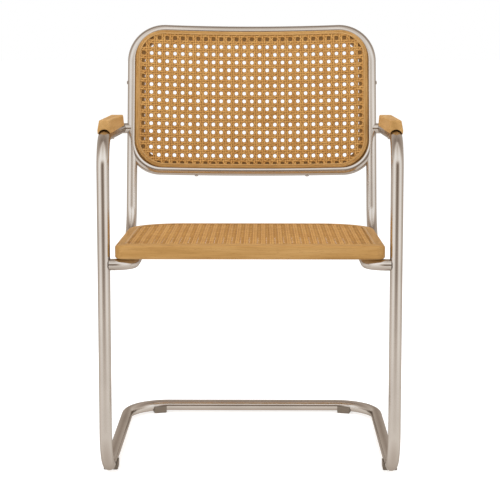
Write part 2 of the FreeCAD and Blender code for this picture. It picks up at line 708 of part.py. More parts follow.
frame_slab = bowed_slab(val("frame_ahead"), val("frame_behind"))
frame_body = upright_prism([back_outline(0)]).common(frame_slab)
front_edges = []
front_face = max(frame_body.Faces, key=lambda f: -f.CenterOfMass.y if f.Area
                 > max(g.Area for g in frame_body.Faces) / 2 else -abs(val("back_bow")))
for edge in frame_body.Edges:
    if any(edge.isSame(other) for other in front_face.Edges):
        front_edges.append(edge)
frame_body = frame_body.makeChamfer(val("frame_chamfer"), front_edges)
rail = val("frame_rail_width")
opening_corner = max(val("frame_corner") - rail, val("cane_front_corner"))
opening = upright_prism([rounded_wire(val("frame_half_width") - rail, frame_low + rail,
                                      frame_high - val("frame_top_rail"),
                                      opening_corner, opening_corner, True)])
rabbet = upright_prism([back_outline(val("frame_border"))]).common(
    bowed_slab(val("frame_ahead") + val("overrun"),
               val("cane_thick") + val("fit_gap") - val("frame_ahead")))
groove_ring = upright_prism([back_outline(val("frame_border")),
                             back_outline(val("frame_border") + val("spline_width"))])
groove = groove_ring.common(bowed_slab(val("frame_ahead") + val("overrun"),
                                       val("spline_depth") - val("frame_ahead")))
back_wood = doc.addObject("Part::Feature", "BackWood")
# The rear edge is coved along the tubes that the frame nests on.
frame_body = frame_body.cut(nest(upper_run, [val("top_bend"), val("back_bow"), val("top_bend")]))
frame_body = frame_body.cut(nest(low_run, [val("low_bend"), val("back_bow"), val("low_bend")]))
back_wood.Shape = frame_body.cut(opening).cut(rabbet).cut(groove)
back_wood.Placement = back_place

back_inset = val("frame_border") + val("spline_width") + val("fit_gap")
back_rim = val("frame_top_rail") - back_inset + val("cane_bar")
back_size = (val("frame_half_width") - back_inset, frame_low + back_inset,
             frame_high - back_inset)
back_round = max(val("frame_corner") - back_inset, val("cane_front_corner"))
back_gaps = net_gaps(*back_size, int(val("back_columns")), int(val("back_rows")),
                     val("cane_bar"), back_rim)
back_gaps = [gap for gap in back_gaps
             if clear_of_corners(gap, *back_size, back_round, back_round)]
for gap in back_gaps:
    gap.rotate(V(0, 0, 0), V(1, 0, 0), 90)
back_cane = doc.addObject("Part::Feature", "BackCane")
back_cane.Shape = upright_prism([back_outline(back_inset)] + back_gaps).common(
    bowed_slab(val("frame_ahead"), val("cane_thick") - val("frame_ahead")))
back_cane.Placement = back_place
keep(back_cane, "back_cane")

back_spline = doc.addObject("Part::Feature", "BackSpline")
spline_ring = upright_prism([back_outline(val("frame_border") + val("fit_gap")),
                             back_outline(val("frame_border") + val("spline_width")
                                          - val("fit_gap"))])
back_spline.Shape = spline_ring.common(
    bowed_slab(val("frame_ahead") + val("spline_crown"),
               val("spline_depth") - val("fit_gap") - val("frame_ahead")))
back_spline.Placement = back_place
keep(back_spline, "back_cane_spline")


# Arm pad: a block that widens inwards to the rear, hollowed below to sit on
# the arm tube.
def pad_section(name, setback, outer, inner, rise, inner_foot):
    place = arm_point(setback)
    corners = [V(val("pad_lip_inset") - outer, 0, val("pad_lip")),
               V(-outer, 0, val("pad_outer_foot")),
               V(val("pad_outer_lean") - outer, 0, rise),
               V(inner - val("pad_lean"), 0, rise), V(inner, 0, inner_foot),
               V(inner - val("base_wall"), 0, inner_foot)]
    section = doc.addObject("Part::Feature", name)
    section.Shape = Part.makePolygon([place + c for c in corners + corners[:1]])
    return section


pad_end = val("pad_start") + val("pad_length")
pad_front = pad_section("PadFront", val("pad_start"), val("pad_outer"),
                        val("pad_front_inner"), val("pad_front_rise"), val("pad_inner_foot"))
pad_rear = pad_section("PadRear", pad_end, val("pad_rear_outer"), val("pad_rear_inner"),
                       val("pad_rear_rise"), val("pad_rear_foot"))
pad_loft = doc.addObject("Part::Loft", "PadLoft")
pad_loft.Sections = [pad_front, pad_rear]
pad_loft.Solid = True
pad_loft.Ruled = True
doc.recompute()
pad_round = doc.addObject("Part::Fillet", "PadRound")
pad_round.Base = pad_loft
top_low = min(arm_point(val("pad_start")).z + val("pad_front_rise"),
              arm_point(pad_end).z + val("pad_rear_rise")) - val("fit_gap")
pad_round.Edges = [(n + 1, val("pad_round"), val("pad_round"))
                   for n, edge in enumerate(pad_loft.Shape.Edges)
                   if any(corner.Z > top_low for corner in edge.Vertexes)]
pad_saddle = cylinder("PadSaddle", "{base_tube} / 2 + {rest_gap}", arm_point(0), tail)
pad_saddled = cut("PadSaddled", pad_round, pad_saddle)


# Screws: a bevelled head under the tube and a shank through it into the wood.
def screw(name, seat_point, heading, through):
    # The head's flat side lies at seat_point, and heading points into the wood.
    heading = V(heading).normalize()
    turn = FreeCAD.Rotation(V(0, 0, 1), heading)
    head = doc.addObject("Part::Cylinder", name + "Head")
    bind(head, "Radius", "{screw_head} / 2")
    bind(head, "Height", "{screw_head_thick}")
    head.Placement = FreeCAD.Placement(seat_point - heading * val("screw_head_thick"), turn)
    doc.recompute()
    crown = doc.addObject("Part::Chamfer", name + "Crown")
    crown.Base = head
    low_edge = [n + 1 for n, e in enumerate(head.Shape.Edges) if e.Closed
                and (e.CenterOfMass - head.Placement.Base).Length < half("screw_head_thick")
                and hasattr(e.Curve, "Radius")]
    crown.Edges = [(n, val("screw_chamfer"), val("screw_chamfer")) for n in low_edge]
    end = seat_point + heading * (through + val("screw_bite"))
    shank = cylinder(name + "Shank", "{screw_shank} / 2", seat_point, end)
    hole = cylinder(name + "Hole", "{screw_shank} / 2 + {fit_gap}", seat_point, end,
                    val("screw_chamfer"), val("fit_gap"))
    return join(name, [crown, shank]), hole


seat_up = V(0, math.sin(math.radians(val("rail_fall"))), math.cos(math.radians(val("rail_fall"))))
flare = (val("upright_half_span") - val("rail_half_span")) / (val("flare_end") - val("flare_start"))
seat_screws, seat_holes = [], []
for place, setback in (("Front", val("seat_screw_front")), ("Rear", val("seat_screw_rear"))):
    aside = val("rail_half_span") + max(0, setback - val("flare_start")) * flare
    for hand, side in (("Left", 1), ("Right", -1)):
        axis = rail_point(aside, setback)
        axis = V(side * axis.x, axis.y, axis.z)
        body, hole = screw("SeatScrew" + place + hand,
                           axis - seat_up * (half("back_tube") + val("rest_gap")),
                           seat_up, val("back_tube"))
        seat_screws.append(body)
        seat_holes.append(hole)

pad_up = V(0, math.sin(math.radians(val("arm_fall"))), math.cos(math.radians(val("arm_fall"))))
pad_screws, pad_holes = [], []
for place, setback in (("Front", val("pad_start") + val("pad_screw_inset")),
                       ("Rear", pad_end - val("pad_screw_inset"))):
    for hand, side in (("Left", 1), ("Right", -1)):
        axis = arm_point(setback)
        axis = V(side * axis.x, axis.y, axis.z)
        body, hole = screw("PadScrew" + place + hand,
                           axis - pad_up * (half("base_tube") + val("rest_gap")),
                           pad_up, val("base_tube"))
        pad_screws.append(body)
        pad_holes.append(hole)

back_up = back_place.Rotation.multVec(V(0, 0, 1))
back_screws, back_holes = [], []
for hand, side in (("Left", -1), ("Right", 1)):
    aside = side * val("back_screw_span")
    behind = bow_centre + math.sqrt(val("back_bow") ** 2 - aside ** 2)
    under = back_point(aside, -val("low_drop") - half("back_tube") - val("rest_gap"), behind)
    body, hole = screw("BackScrewLow" + hand, under, back_up, val("back_tube"))
    back_screws.append(body)
    back_holes.append(hole)
    outside = back_point(side * (val("upright_half_span") + half("back_tube")
                                 + val("rest_gap")), val("back_screw_rise"))
    body, hole = screw("BackScrewHigh" + hand, outside, V(-side, 0, 0), val("back_tube"))
    back_screws.append(body)
    back_holes.append(hole)

seat_drill = join("SeatDrill", seat_holes)
pad_drill = join("PadDrill", pad_holes)
back_drill = join("BackDrill", back_holes)
loop_drill = join("LoopDrill", [seat_drill, back_drill])

keep(cut("BaseFrame", base_hollow, pad_drill), "base_frame_tube")
keep(cut("SeatBackTube", loop_coped, loop_drill), "seat_back_tube")
keep(cut("LowRail", low_coped, back_drill), "back_lower_rail")
keep(cut("SeatWood", seat, seat_drill), "seat_frame")
keep(cut("BackFrame", back_wood, back_drill), "back_frame")
left_pad = keep(cut("PadLeft", pad_saddled, pad_drill), "arm_pad_left")
keep(mirrored("PadRight", left_pad), "arm_pad_right")


def group(name, label, members):
    # Several separate solids kept as one node.
    part = doc.addObject("Part::Compound", name)
    part.Links = members
    return keep(part, label)


group("SeatScrews", "seat_screws", seat_screws)
group("BackScrews", "back_screws", back_screws)
group("PadScrews", "arm_pad_screws", pad_screws)


# Glides: plastic saddles under the floor loop. The outer flank is low and the
# inner flank rises to the middle of the tube.
def glide(name, length_alias, ease, ease_alias):
    # The trough is as round as the tube, and wider by the ease where the tube bends.
    body = doc.addObject("PartDesign::Body", name)
    wide = half("base_tube") + val("glide_side")
    centre = val("glide_base") + half("base_tube") + ease
    hollow = half("base_tube") + val("rest_gap") + ease
    more = " + {%s}" % ease_alias if ease else ""
    corners = [(-wide, 0), (wide, 0), (wide, val("glide_inner_rise")),
               (-wide, val("glide_outer_rise"))]
    sketch = new_sketch(body, name + "Section", "XZ_Plane")
    sketch.addGeometry([Part.LineSegment(V(*a, 0), V(*b, 0))
                        for a, b in zip(corners, corners[1:] + corners[:1])], False)
    for side in range(4):
        sketch.addConstraint(Sketcher.Constraint("Coincident", side, 2, (side + 1) % 4, 1))
    sketch.addConstraint(Sketcher.Constraint("Horizontal", 0))
    sketch.addConstraint(Sketcher.Constraint("Vertical", 1))
    sketch.addConstraint(Sketcher.Constraint("Vertical", 3))
    sketch.addConstraint(Sketcher.Constraint("Symmetric", 0, 1, 0, 2, -1, 1))
    for label, what, size, formula in (
            ("width", ("DistanceX", 0, 1, 0, 2), 2 * wide, "{base_tube} + 2 * {glide_side}"),
            ("inner", ("DistanceY", 1, 1, 1, 2), corners[2][1], "{glide_inner_rise}"),
            ("outer", ("DistanceY", 3, 2, 3, 1), corners[3][1], "{glide_outer_rise}")):
        index = sketch.addConstraint(Sketcher.Constraint(*what, size))
        sketch.renameConstraint(index, label)
        bind(sketch, "Constraints." + label, formula)
    pad = body.newObject("PartDesign::Pad", name + "Block")
    pad.Profile = sketch
    bind(pad, "Length", "{%s}" % length_alias)
    pad.SideType = "Symmetric"
    doc.recompute()
    chamfer = body.newObject("PartDesign::Chamfer", name + "Foot")
    chamfer.Base = (pad, flat_edges(pad.Shape, 0))
    bind(chamfer, "Size", "{glide_chamfer}")
    doc.recompute()
    trough = new_sketch(body, name + "Trough", "XZ_Plane")
    trough.addGeometry(Part.Circle(V(0, centre, 0), V(0, 0, 1), hollow), False)
    trough.addConstraint(Sketcher.Constraint("PointOnObject", 0, 3, -2))
    for label, what, size, formula in (
            ("rise", ("DistanceY", -1, 1, 0, 3), centre,
             "{glide_base} + {base_tube} / 2" + more),
            ("radius", ("Radius", 0), hollow, "{base_tube} / 2 + {rest_gap}" + more)):
        index = trough.addConstraint(Sketcher.Constraint(*what, size))
        trough.renameConstraint(index, label)
        bind(trough, "Constraints." + label, formula)
    pocket = body.newObject("PartDesign::Pocket", name + "Saddle")
    pocket.Profile = trough
    pocket.SideType = "Symmetric"
    pocket.Type = "Length"
    bind(pocket, "Length", "{%s} + {overrun}" % length_alias)
    body.Tip = pocket
    return body


front_glide = glide("FrontGlideLeft", "glide_length", 0, "")
front_glide.Placement = FreeCAD.Placement(
    V(-val("leg_half_span"), front_y + val("leg_bend") + half("glide_length"), 0),
    FreeCAD.Rotation())
keep(front_glide, "front_glide_left")
keep(mirrored("FrontGlideRight", front_glide), "front_glide_right")
rear_glide = glide("RearGlideLeft", "rear_glide_length", val("bend_ease"), "bend_ease")
# The straight trough lies across the middle of the bend's sagitta.
rear_swing = math.asin((val("rear_glide_span") - val("leg_half_span") + val("rear_bend"))
                       / val("rear_bend"))
sagitta = val("rear_bend") - math.sqrt(val("rear_bend") ** 2 - half("rear_glide_length") ** 2)
glide_reach = val("rear_bend") - sagitta / 2
rear_glide.Placement = FreeCAD.Placement(
    V(val("rear_bend") - val("leg_half_span") - glide_reach * math.sin(rear_swing),
      rear_y - val("rear_bend") + glide_reach * math.cos(rear_swing), 0),
    FreeCAD.Rotation(V(0, 0, 1), math.degrees(rear_swing) - 90))
keep(rear_glide, "rear_glide_left")
keep(mirrored("RearGlideRight", rear_glide), "rear_glide_right")

doc.recompute()

# Every object is sound before anything is written.
failed = [obj.Name for obj in doc.Objects
          if "Invalid" in obj.State or "Error" in obj.State]
unsound = [piece.Label for piece in pieces
           if piece.Shape.isNull() or not piece.Shape.isValid()]
broken = [piece.Label for piece in pieces
          if len(piece.Shape.Solids) != 1 and not piece.Label.endswith("screws")]
if failed or unsound or broken:
    raise RuntimeError("failed objects %s, unsound pieces %s, pieces not in one solid %s"
                       % (failed, unsound, broken))

# The bent tubes' volumes follow their sections and lengths.
for tube, path, size, wall in (("base_frame_tube", base_path, "base_tube", "base_wall"),
                               ("seat_back_tube", loop_path, "back_tube", "back_wall"),
                               ("back_lower_rail", low_path, "back_tube", "back_wall")):
    ring = math.pi * (half(size) ** 2 - (half(size) - val(wall)) ** 2)
    solid = [p for p in pieces if p.Label == tube][0].Shape
    print("%s volume %.0f, section times length %.0f"
          % (tube, solid.Volume, ring * path.Shape.Length))

os.makedirs("parts", exist_ok=True)
for piece in pieces:
    piece.Shape.exportStep("parts/%s.step" % piece.Label)
    box = piece.Shape.BoundBox
    print("%-20s solids %d  x %.1f %.1f  y %.1f %.1f  z %.1f %.1f  volume %.0f"
          % (piece.Label, len(piece.Shape.Solids), box.XMin, box.XMax, box.YMin, box.YMax,
             box.ZMin, box.ZMax, piece.Shape.Volume))
print("%d pieces" % len(pieces))
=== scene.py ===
import math
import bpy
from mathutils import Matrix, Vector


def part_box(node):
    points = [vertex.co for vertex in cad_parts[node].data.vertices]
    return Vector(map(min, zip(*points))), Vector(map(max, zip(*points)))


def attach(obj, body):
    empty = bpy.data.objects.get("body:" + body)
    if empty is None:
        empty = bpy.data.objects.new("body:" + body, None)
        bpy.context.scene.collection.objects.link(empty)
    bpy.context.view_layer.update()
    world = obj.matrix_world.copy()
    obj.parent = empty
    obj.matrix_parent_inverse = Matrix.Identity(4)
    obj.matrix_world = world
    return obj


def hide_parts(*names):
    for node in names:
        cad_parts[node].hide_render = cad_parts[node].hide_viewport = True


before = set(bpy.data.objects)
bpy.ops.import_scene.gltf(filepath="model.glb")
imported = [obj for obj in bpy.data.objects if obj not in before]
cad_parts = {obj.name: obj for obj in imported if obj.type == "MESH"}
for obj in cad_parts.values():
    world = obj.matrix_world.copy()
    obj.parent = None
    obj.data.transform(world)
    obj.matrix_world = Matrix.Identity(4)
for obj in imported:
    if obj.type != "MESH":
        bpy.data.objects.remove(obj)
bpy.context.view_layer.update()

from types import SimpleNamespace

import bpy
from bpy.props import FloatProperty, FloatVectorProperty, IntProperty, PointerProperty
from mathutils import Matrix, Vector

bl_info = {
    "name": "Cane Study Chair",
    "version": (1, 0, 0),
    "blender": (4, 5, 0),
    "location": "View3D > Sidebar > Study Chair",
    "description": "Dresses a cantilever study chair with tube, wood and woven cane",
    "category": "Add Mesh",
}


# Sizes and colours that a user would change


def length(name, default, description):
    return FloatProperty(name=name, description=description, default=default,
                         unit="LENGTH", precision=5)


def angle(name, degrees, description):
    return FloatProperty(name=name, description=description,
                         default=math.radians(degrees), subtype="ANGLE")


def number(name, default, description):
    return FloatProperty(name=name, description=description, default=default, min=0)


def count(name, default, description):
    return IntProperty(name=name, description=description, default=default, min=1)


def tint(name, default, description):
    return FloatVectorProperty(name=name, description=description, default=default,
                               size=3, min=0, soft_max=2)


def colour(name, default, description):
    return FloatVectorProperty(name=name, description=description, default=default,
                               size=3, min=0, max=1, subtype="COLOR")


class ChairTubes(bpy.types.PropertyGroup):
    base_tube: length("Base tube", 0.024, "Outer diameter of leg, floor and arm tube")
    back_tube: length("Back tube", 0.022, "Outer diameter of seat and back tube")
    front: length("Leg plane", -0.275, "Y of the leg axes")
    leg_span: length("Leg span", 0.276, "Leg axis from the middle plane")
    runner: length("Runner", 0.552, "Leg axis to the rear floor rail")
    floor_rise: length("Floor rise", 0.015, "Height of the runner axis")
    leg_bend: length("Leg bend", 0.088, "Centreline radius of the floor bends")
    arm_bend: length("Arm bend", 0.060, "Centreline radius from leg to arm")
    arm_height: length("Arm height", 0.6664, "Height where leg and arm axes meet")
    arm_fall: angle("Arm fall", 2, "Fall of the arm to the rear")
    arm_flare: length("Arm flare", 0.008, "Sideways run of the arm")
    arm_tail: length("Arm tail", 0.014, "Arm tube past its stub")
    stub_height: length("Stub height", 0.4245, "Height of the seat stub on the leg")
    stub_bend: length("Stub bend", 0.038, "Centreline radius from stub to rail")
    rail_span: length("Rail span", 0.222, "Front of the rail from the middle plane")
    rail_fall: angle("Rail fall", 1.6, "Fall of seat and rails to the rear")
    flare_start: length("Flare start", 0.110, "Leg axis to the rail's first flare point")
    flare_end: length("Flare end", 0.300, "Leg axis to the rail's second flare point")
    flare_bend: length("Flare bend", 0.250, "Centreline radius of the flare bends")
    upright_span: length("Upright span", 0.258, "Upright axis from the middle plane")
    upright_bend: length("Upright bend", 0.088, "Centreline radius from rail to upright")
    upright_setback: length("Upright setback", 0.460, "Leg axis to upright at the stub")
    recline: angle("Recline", 12, "Lean of the uprights")
    top_rise: length("Top rise", 0.2183, "Arm stub up to the top rail")
    top_bend: length("Top bend", 0.072, "Centreline radius of the top corners")
    back_bow: length("Back bow", 1.0, "Plan radius of the bowed back")
    low_drop: length("Low drop", 0.0889, "Arm stub down to the lower rail")
    low_span: length("Low span", 0.247, "Corner of the lower rail")
    low_bend: length("Low bend", 0.060, "Centreline radius of the lower corners")
    low_rise: length("Low rise", 0.054, "Lower rail up to its ends")
    cope: length("Cope", 0.010, "How far a coped end stops short of an axis")
    sides: count("Sides", 40, "Facets round a tube")
    step: angle("Bend step", 4, "Turn of a bend between two rings")


class ChairCane(bpy.types.PropertyGroup):
    back_pitch_x: length("Back pitch across", 0.01671, "Hole to hole, across the back")
    back_pitch_y: length("Back pitch up", 0.01709, "Hole to hole, up the back")
    back_columns: count("Back columns", 29, "Holes across the back, with those at the rim")
    back_rows: count("Back rows", 17, "Holes up the back, with those at the rim")
    back_drop: length("Back drop", 0.0041, "How far the back's holes sit below its middle")
    seat_pitch: length("Seat pitch", 0.01665, "Hole to hole on the seat")
    seat_columns: count("Seat columns", 29, "Holes across the seat")
    seat_rows: count("Seat rows", 23, "Holes from front to rear of the seat")
    pair: length("Pair gap", 0.00232, "Strand axis from the middle of its pair")
    strand: length("Strand", 0.0047, "Width of a strand")
    diagonal: length("Diagonal", 0.0040, "Width of a diagonal strand")
    thick: length("Back thickness", 0.00085, "Thickness of a strand of the back")
    seat_strand: length("Seat thickness", 0.00140, "Thickness of a strand of the seat")
    wave: length("Wave", 0.00036, "Rise of a strand over its crossing")
    diagonal_wave: length("Diagonal wave", 0.00050, "Rise of a diagonal strand")
    reed: length("Seat reed", 0.0047, "Width of the seat's spline")
    back_reed: length("Back reed", 0.0034, "Width of the back's spline")


class ChairPanels(bpy.types.PropertyGroup):
    seat_half: length("Seat half width", 0.255, "Half width of the seat frame")
    seat_depth: length("Seat depth", 0.418, "Front to rear of the seat frame")
    seat_thick: length("Seat thickness", 0.0265, "Thickness of the seat frame")
    seat_nose: length("Seat nose", 0.014, "Seat front ahead of the legs")
    seat_rear_corner: length("Rear corner", 0.110, "Rear corner radius of the seat")
    seat_border: length("Seat border", 0.017, "Wood outside the spline")
    spline_corner: length("Spline corner", 0.012, "Front corner radius of the spline")
    rest_gap: length("Rest gap", 0.0002, "Seat above its rails")
    back_half: length("Back half width", 0.250, "Half width of the back frame")
    back_low: length("Back low edge", -0.0844, "Lower edge, up from the arm stub")
    back_high: length("Back high edge", 0.2158, "Upper edge, up from the arm stub")
    back_corner: length("Back corner", 0.062, "Outer corner radius of the back frame")
    back_border: length("Back border", 0.0052, "Wood outside the spline")
    back_ahead: length("Back face", 0.0135, "Front face ahead of the tube axes")
    # Painted shade: between these depths the wood behind the cane is darkened, for the
    # shadow seen through the holes.
    painted_shade_from: length("Shade start", 0.0011, "Depth at which wood behind the cane is dark")
    back_painted_shade: length("Back shade", 0.009, "Depth to which the back's opening is dark")
    seat_painted_shade: length("Seat shade", 0.009, "Depth to which the seat's opening is dark")


class ChairFinish(bpy.types.PropertyGroup):
    nickel: colour("Nickel", (0.725, 0.695, 0.665), "Warm satin nickel")
    nickel_dark: colour("Nickel shade", (0.650, 0.620, 0.590), "Darker patches")
    nickel_edge: colour("Nickel edge", (0.56, 0.525, 0.490), "Tint of its edges")
    beech: colour("Beech", (0.480, 0.262, 0.082), "Middle tone of the stained beech")
    beech_light: colour("Beech light", (0.545, 0.315, 0.112), "Light grain")
    beech_dark: colour("Beech dark", (0.395, 0.205, 0.058), "Dark grain")
    # Painted shade on the wood behind the cane, standing in for its shadow.
    beech_painted_shade: colour("Beech shade", (0.185, 0.092, 0.024), "Dark wood behind the cane")
    arm_tint: tint("Arm tint", (1.16, 1.22, 1.36), "How much paler the arm pads are")
    cane: colour("Cane", (0.560, 0.282, 0.076), "Darker patches of the cane")
    cane_light: colour("Cane light", (0.690, 0.390, 0.122), "Lighter patches of the cane")
    # Painted shade in the creases beside the crowns.
    cane_crease_shade: colour("Cane dark", (0.270, 0.112, 0.022), "Creases beside the crowns")
    reed: colour("Reed", (0.560, 0.320, 0.110), "Middle tone of the spline")
    plastic: colour("Plastic", (0.235, 0.190, 0.145), "Taupe of glides and plugs")


class ChairStudio(bpy.types.PropertyGroup):
    camera_side: length("Camera side", 0.0244, "Camera to the right of the middle plane")
    camera_turn: angle("Camera turn", 0.478, "Camera looking to the left")
    camera_back: length("Camera distance", 3.1844, "Camera in front of the origin")
    camera_rise: length("Camera height", 0.8849, "Camera above the floor")
    camera_tilt: angle("Camera tilt", 6.890, "Camera looking down")
    camera_drop: number("Camera drop", 0.085, "Frame below the lens axis, in frame widths")
    focal: number("Focal length", 112.284, "Lens for a 36 mm sensor")
    sky: number("Sky", 0.62, "Strength of the ambient light")
    key: number("Key", 60, "Power of the tall box on the left, in watts")
    fill: number("Fill", 44, "Power of the tall box on the right, in watts")
    top: number("Top", 41, "Power of the box overhead, in watts")
    floor_glow: number("Floor glow", 0.58, "White added to the floor where it is seen")


PROPERTY_GROUPS = {
    "chair_tubes": ChairTubes,
    "chair_cane": ChairCane,
    "chair_panels": ChairPanels,
    "chair_finish": ChairFinish,
    "chair_studio": ChairStudio,
}


# Fineness and section of the meshes
LEAST_RINGS = 4  # in the shortest bend
RING_GAP = 0.02  # longest run between two rings of a bend
CORNER_POINTS = 12  # round a corner of a panel's outline
POINT_GAP = 0.012  # longest run between two points of that outline
REED_SIDES = 16  # facets round a spline
REED_FLATNESS = 3  # width of a spline to half its height
STRAND_RINGS = 4  # from hole to hole
PAIR_CORNERS = 6  # of the section of a strand in a pair
DIAGONAL_CORNERS = 4  # of the section of a diagonal strand
SEED = [Vector((0, 0, 0)), Vector((0, 0.001, 0))]  # what the weave is made on

WHITE = (1, 1, 1)
PATCH_SHADE = 0.86  # darker patches of a plain colour


# Places


def arm_height_at(tubes, setback):
    return tubes.arm_height - setback * math.tan(tubes.arm_fall)


def place_back(tubes):
    # The back's own frame: x across, y to the rear, z up the uprights.
    height = arm_height_at(tubes, tubes.upright_setback)
    move = Matrix.Translation((0, tubes.front + tubes.upright_setback, height))
    return move @ Matrix.Rotation(-tubes.recline, 4, "X")


def place_seat(tubes, panels):
    # The seat's own frame: z = 0 is its underside, y = 0 its front edge.
    rise = (tubes.back_tube / 2 + panels.rest_gap) / math.cos(tubes.rail_fall)
    rise += tubes.stub_height + panels.seat_nose * math.tan(tubes.rail_fall)
    move = Matrix.Translation((0, tubes.front - panels.seat_nose, rise))
    return move @ Matrix.Rotation(-tubes.rail_fall, 4, "X")


def arm_point(tubes, setback):
    side = tubes.leg_span + tubes.arm_flare * setback / tubes.upright_setback
    return Vector((-side, tubes.front + setback, arm_height_at(tubes, setback)))


def rail_point(tubes, side, setback):
    height = tubes.stub_height - setback * math.tan(tubes.rail_fall)
    return Vector((-side, tubes.front + setback, height))


def mirrored(points):
    return [Vector((-p.x, p.y, p.z)) for p in reversed(points)]


def bent_points(points, radii, step):
    # Straight runs joined by tangent arcs, with a point every step of turn.
    path = [points[0]]
    for before, corner, after, radius in zip(points, points[1:], points[2:], radii):
        back = (before - corner).normalized()
        ahead = (after - corner).normalized()
        turn = math.pi - back.angle(ahead)
        reach = radius * math.tan(turn / 2)
        middle = (back + ahead).normalized()
        centre = corner + middle * (radius / math.cos(turn / 2))
        start = corner + back * reach - centre
        normal = back.cross(start).normalized()
        rings = max(LEAST_RINGS, math.ceil(turn / step),
                    math.ceil(turn * radius / RING_GAP))
        for ring in range(rings + 1):
            path.append(centre + Matrix.Rotation(turn * ring / rings, 3, normal) @ start)
    path.append(points[-1])
    return path


def bow_angle(tubes, span, bend):
    # How far a bowed rail has turned where it meets the bend at its corner.
    return math.asin((span - bend) / tubes.back_bow)


def bow_centre(tubes):
    bow = bow_angle(tubes, tubes.upright_span, tubes.top_bend)
    flat = tubes.upright_span - tubes.top_bend * math.cos(bow)
    return tubes.top_bend * math.sin(bow) - math.sqrt(tubes.back_bow ** 2 - flat ** 2)


# Node trees


class Field:
    """A node's output that takes plain arithmetic, with a Math node for each step"""

    def __init__(self, tree, socket):
        self.tree, self.socket = tree, socket

    def math(self, operation, *others):
        return compute(self.tree, operation, self, *others)

    def __abs__(self):
        return self.math("ABSOLUTE")

    def __add__(self, other):
        return self.math("ADD", other)

    def __sub__(self, other):
        return self.math("SUBTRACT", other)

    def __rsub__(self, other):
        return compute(self.tree, "SUBTRACT", other, self)

    def __mul__(self, other):
        return self.math("MULTIPLY", other)

    def __truediv__(self, other):
        return self.math("DIVIDE", other)

    def __gt__(self, other):
        return self.math("GREATER_THAN", other)

    def __lt__(self, other):
        return self.math("LESS_THAN", other)


def wire(value, socket):
    # Links a field to an input, or sets the input to a plain value.
    if isinstance(value, Field):
        value.tree.links.new(value.socket, socket)
    else:
        socket.default_value = value


def node(tree, kind, inputs=None, **settings):
    made = tree.nodes.new(kind)
    for name, value in settings.items():
        setattr(made, name, value)
    for label, value in (inputs or {}).items():
        wire(value, made.inputs[label])
    return made


def field(tree, kind, inputs=None, output=0, **settings):
    # One output of a new node.
    return Field(tree, node(tree, kind, inputs, **settings).outputs[output])


def compute(tree, operation, *values):
    return field(tree, "ShaderNodeMath", dict(enumerate(values)), operation=operation)


def vector(tree, x=0.0, y=0.0, z=0.0):
    return field(tree, "ShaderNodeCombineXYZ", {"X": x, "Y": y, "Z": z})


def split(tree, whole):
    parts = node(tree, "ShaderNodeSeparateXYZ", {"Vector": whole})
    return [Field(tree, socket) for socket in parts.outputs]


def hypotenuse(x, y):
    return (x * x + y * y).math("SQRT")


def outline_distance(x, y, half_width, half_height, corner):
    # How far a point lies outside a rounded rectangle round the origin.
    out_x = abs(x) - half_width + corner
    out_y = abs(y) - half_height + corner
    beyond = hypotenuse(out_x.math("MAXIMUM", 0.0), out_y.math("MAXIMUM", 0.0))
    inner = out_x.math("MAXIMUM", out_y).math("MINIMUM", 0.0)
    return beyond + inner - corner


def sized_tree(name, numbers, whole_numbers=()):
    # A geometry tree with its inputs: a geometry, a material and named numbers.
    tree = bpy.data.node_groups.new(name, "GeometryNodeTree")
    face = tree.interface
    face.new_socket("Geometry", in_out="OUTPUT", socket_type="NodeSocketGeometry")
    for kind, labels in (("Geometry", ["Geometry"]), ("Material", ["Material"]),
                         ("Float", numbers), ("Int", whole_numbers)):
        for label in labels:
            face.new_socket(label, in_out="INPUT", socket_type="NodeSocket" + kind)
    enter = node(tree, "NodeGroupInput")
    return tree, {socket.name: Field(tree, socket) for socket in enter.outputs
                  if socket.name}


def close_tree(tree, given, mesh):
    # The end of every tree: smooth shading, the material and the output.
    mesh = field(tree, "GeometryNodeSetShadeSmooth", {"Geometry": mesh})
    mesh = field(tree, "GeometryNodeSetMaterial",
                 {"Geometry": mesh, "Material": given["Material"]})
    node(tree, "NodeGroupOutput", {"Geometry": mesh})
    return tree


def add_object(name, data):
    made = bpy.data.objects.new(name, data)
    bpy.context.scene.collection.objects.link(made)
    return made


def run_tree(obj, tree, values):
    # Runs a tree on an object and turns the result into its plain mesh.
    modifier = obj.modifiers.new(tree.name, "NODES")
    modifier.node_group = tree
    sockets = {item.name: item.identifier for item in tree.interface.items_tree
               if item.in_out == "INPUT"}
    for label, value in values.items():
        modifier[sockets[label]] = value
    depsgraph = bpy.context.evaluated_depsgraph_get()
    mesh = bpy.data.meshes.new_from_object(obj.evaluated_get(depsgraph),
                                           depsgraph=depsgraph)
    name = obj.name
    bpy.data.objects.remove(obj)
    mesh.name = name
    return add_object(name, mesh)


def curve_object(name, points, closed=False):
    curve = bpy.data.curves.new(name, "CURVE")
    curve.dimensions = "3D"
    spline = curve.splines.new("POLY")
    spline.points.add(len(points) - 1)
    for point, place in zip(spline.points, points):
        point.co = (*place, 1)
    spline.use_cyclic_u = closed
    return add_object(name, curve)


def tube_tree():
    # A round bar along the input curve.
    tree, given = sized_tree("Bent Tube", ["Radius"], ["Sides"])
    ring = field(tree, "GeometryNodeCurvePrimitiveCircle",
                 {"Resolution": given["Sides"], "Radius": given["Radius"]})
    bar = field(tree, "GeometryNodeCurveToMesh",
                {"Curve": given["Geometry"], "Profile Curve": ring, "Fill Caps": True})
    return close_tree(tree, given, bar)


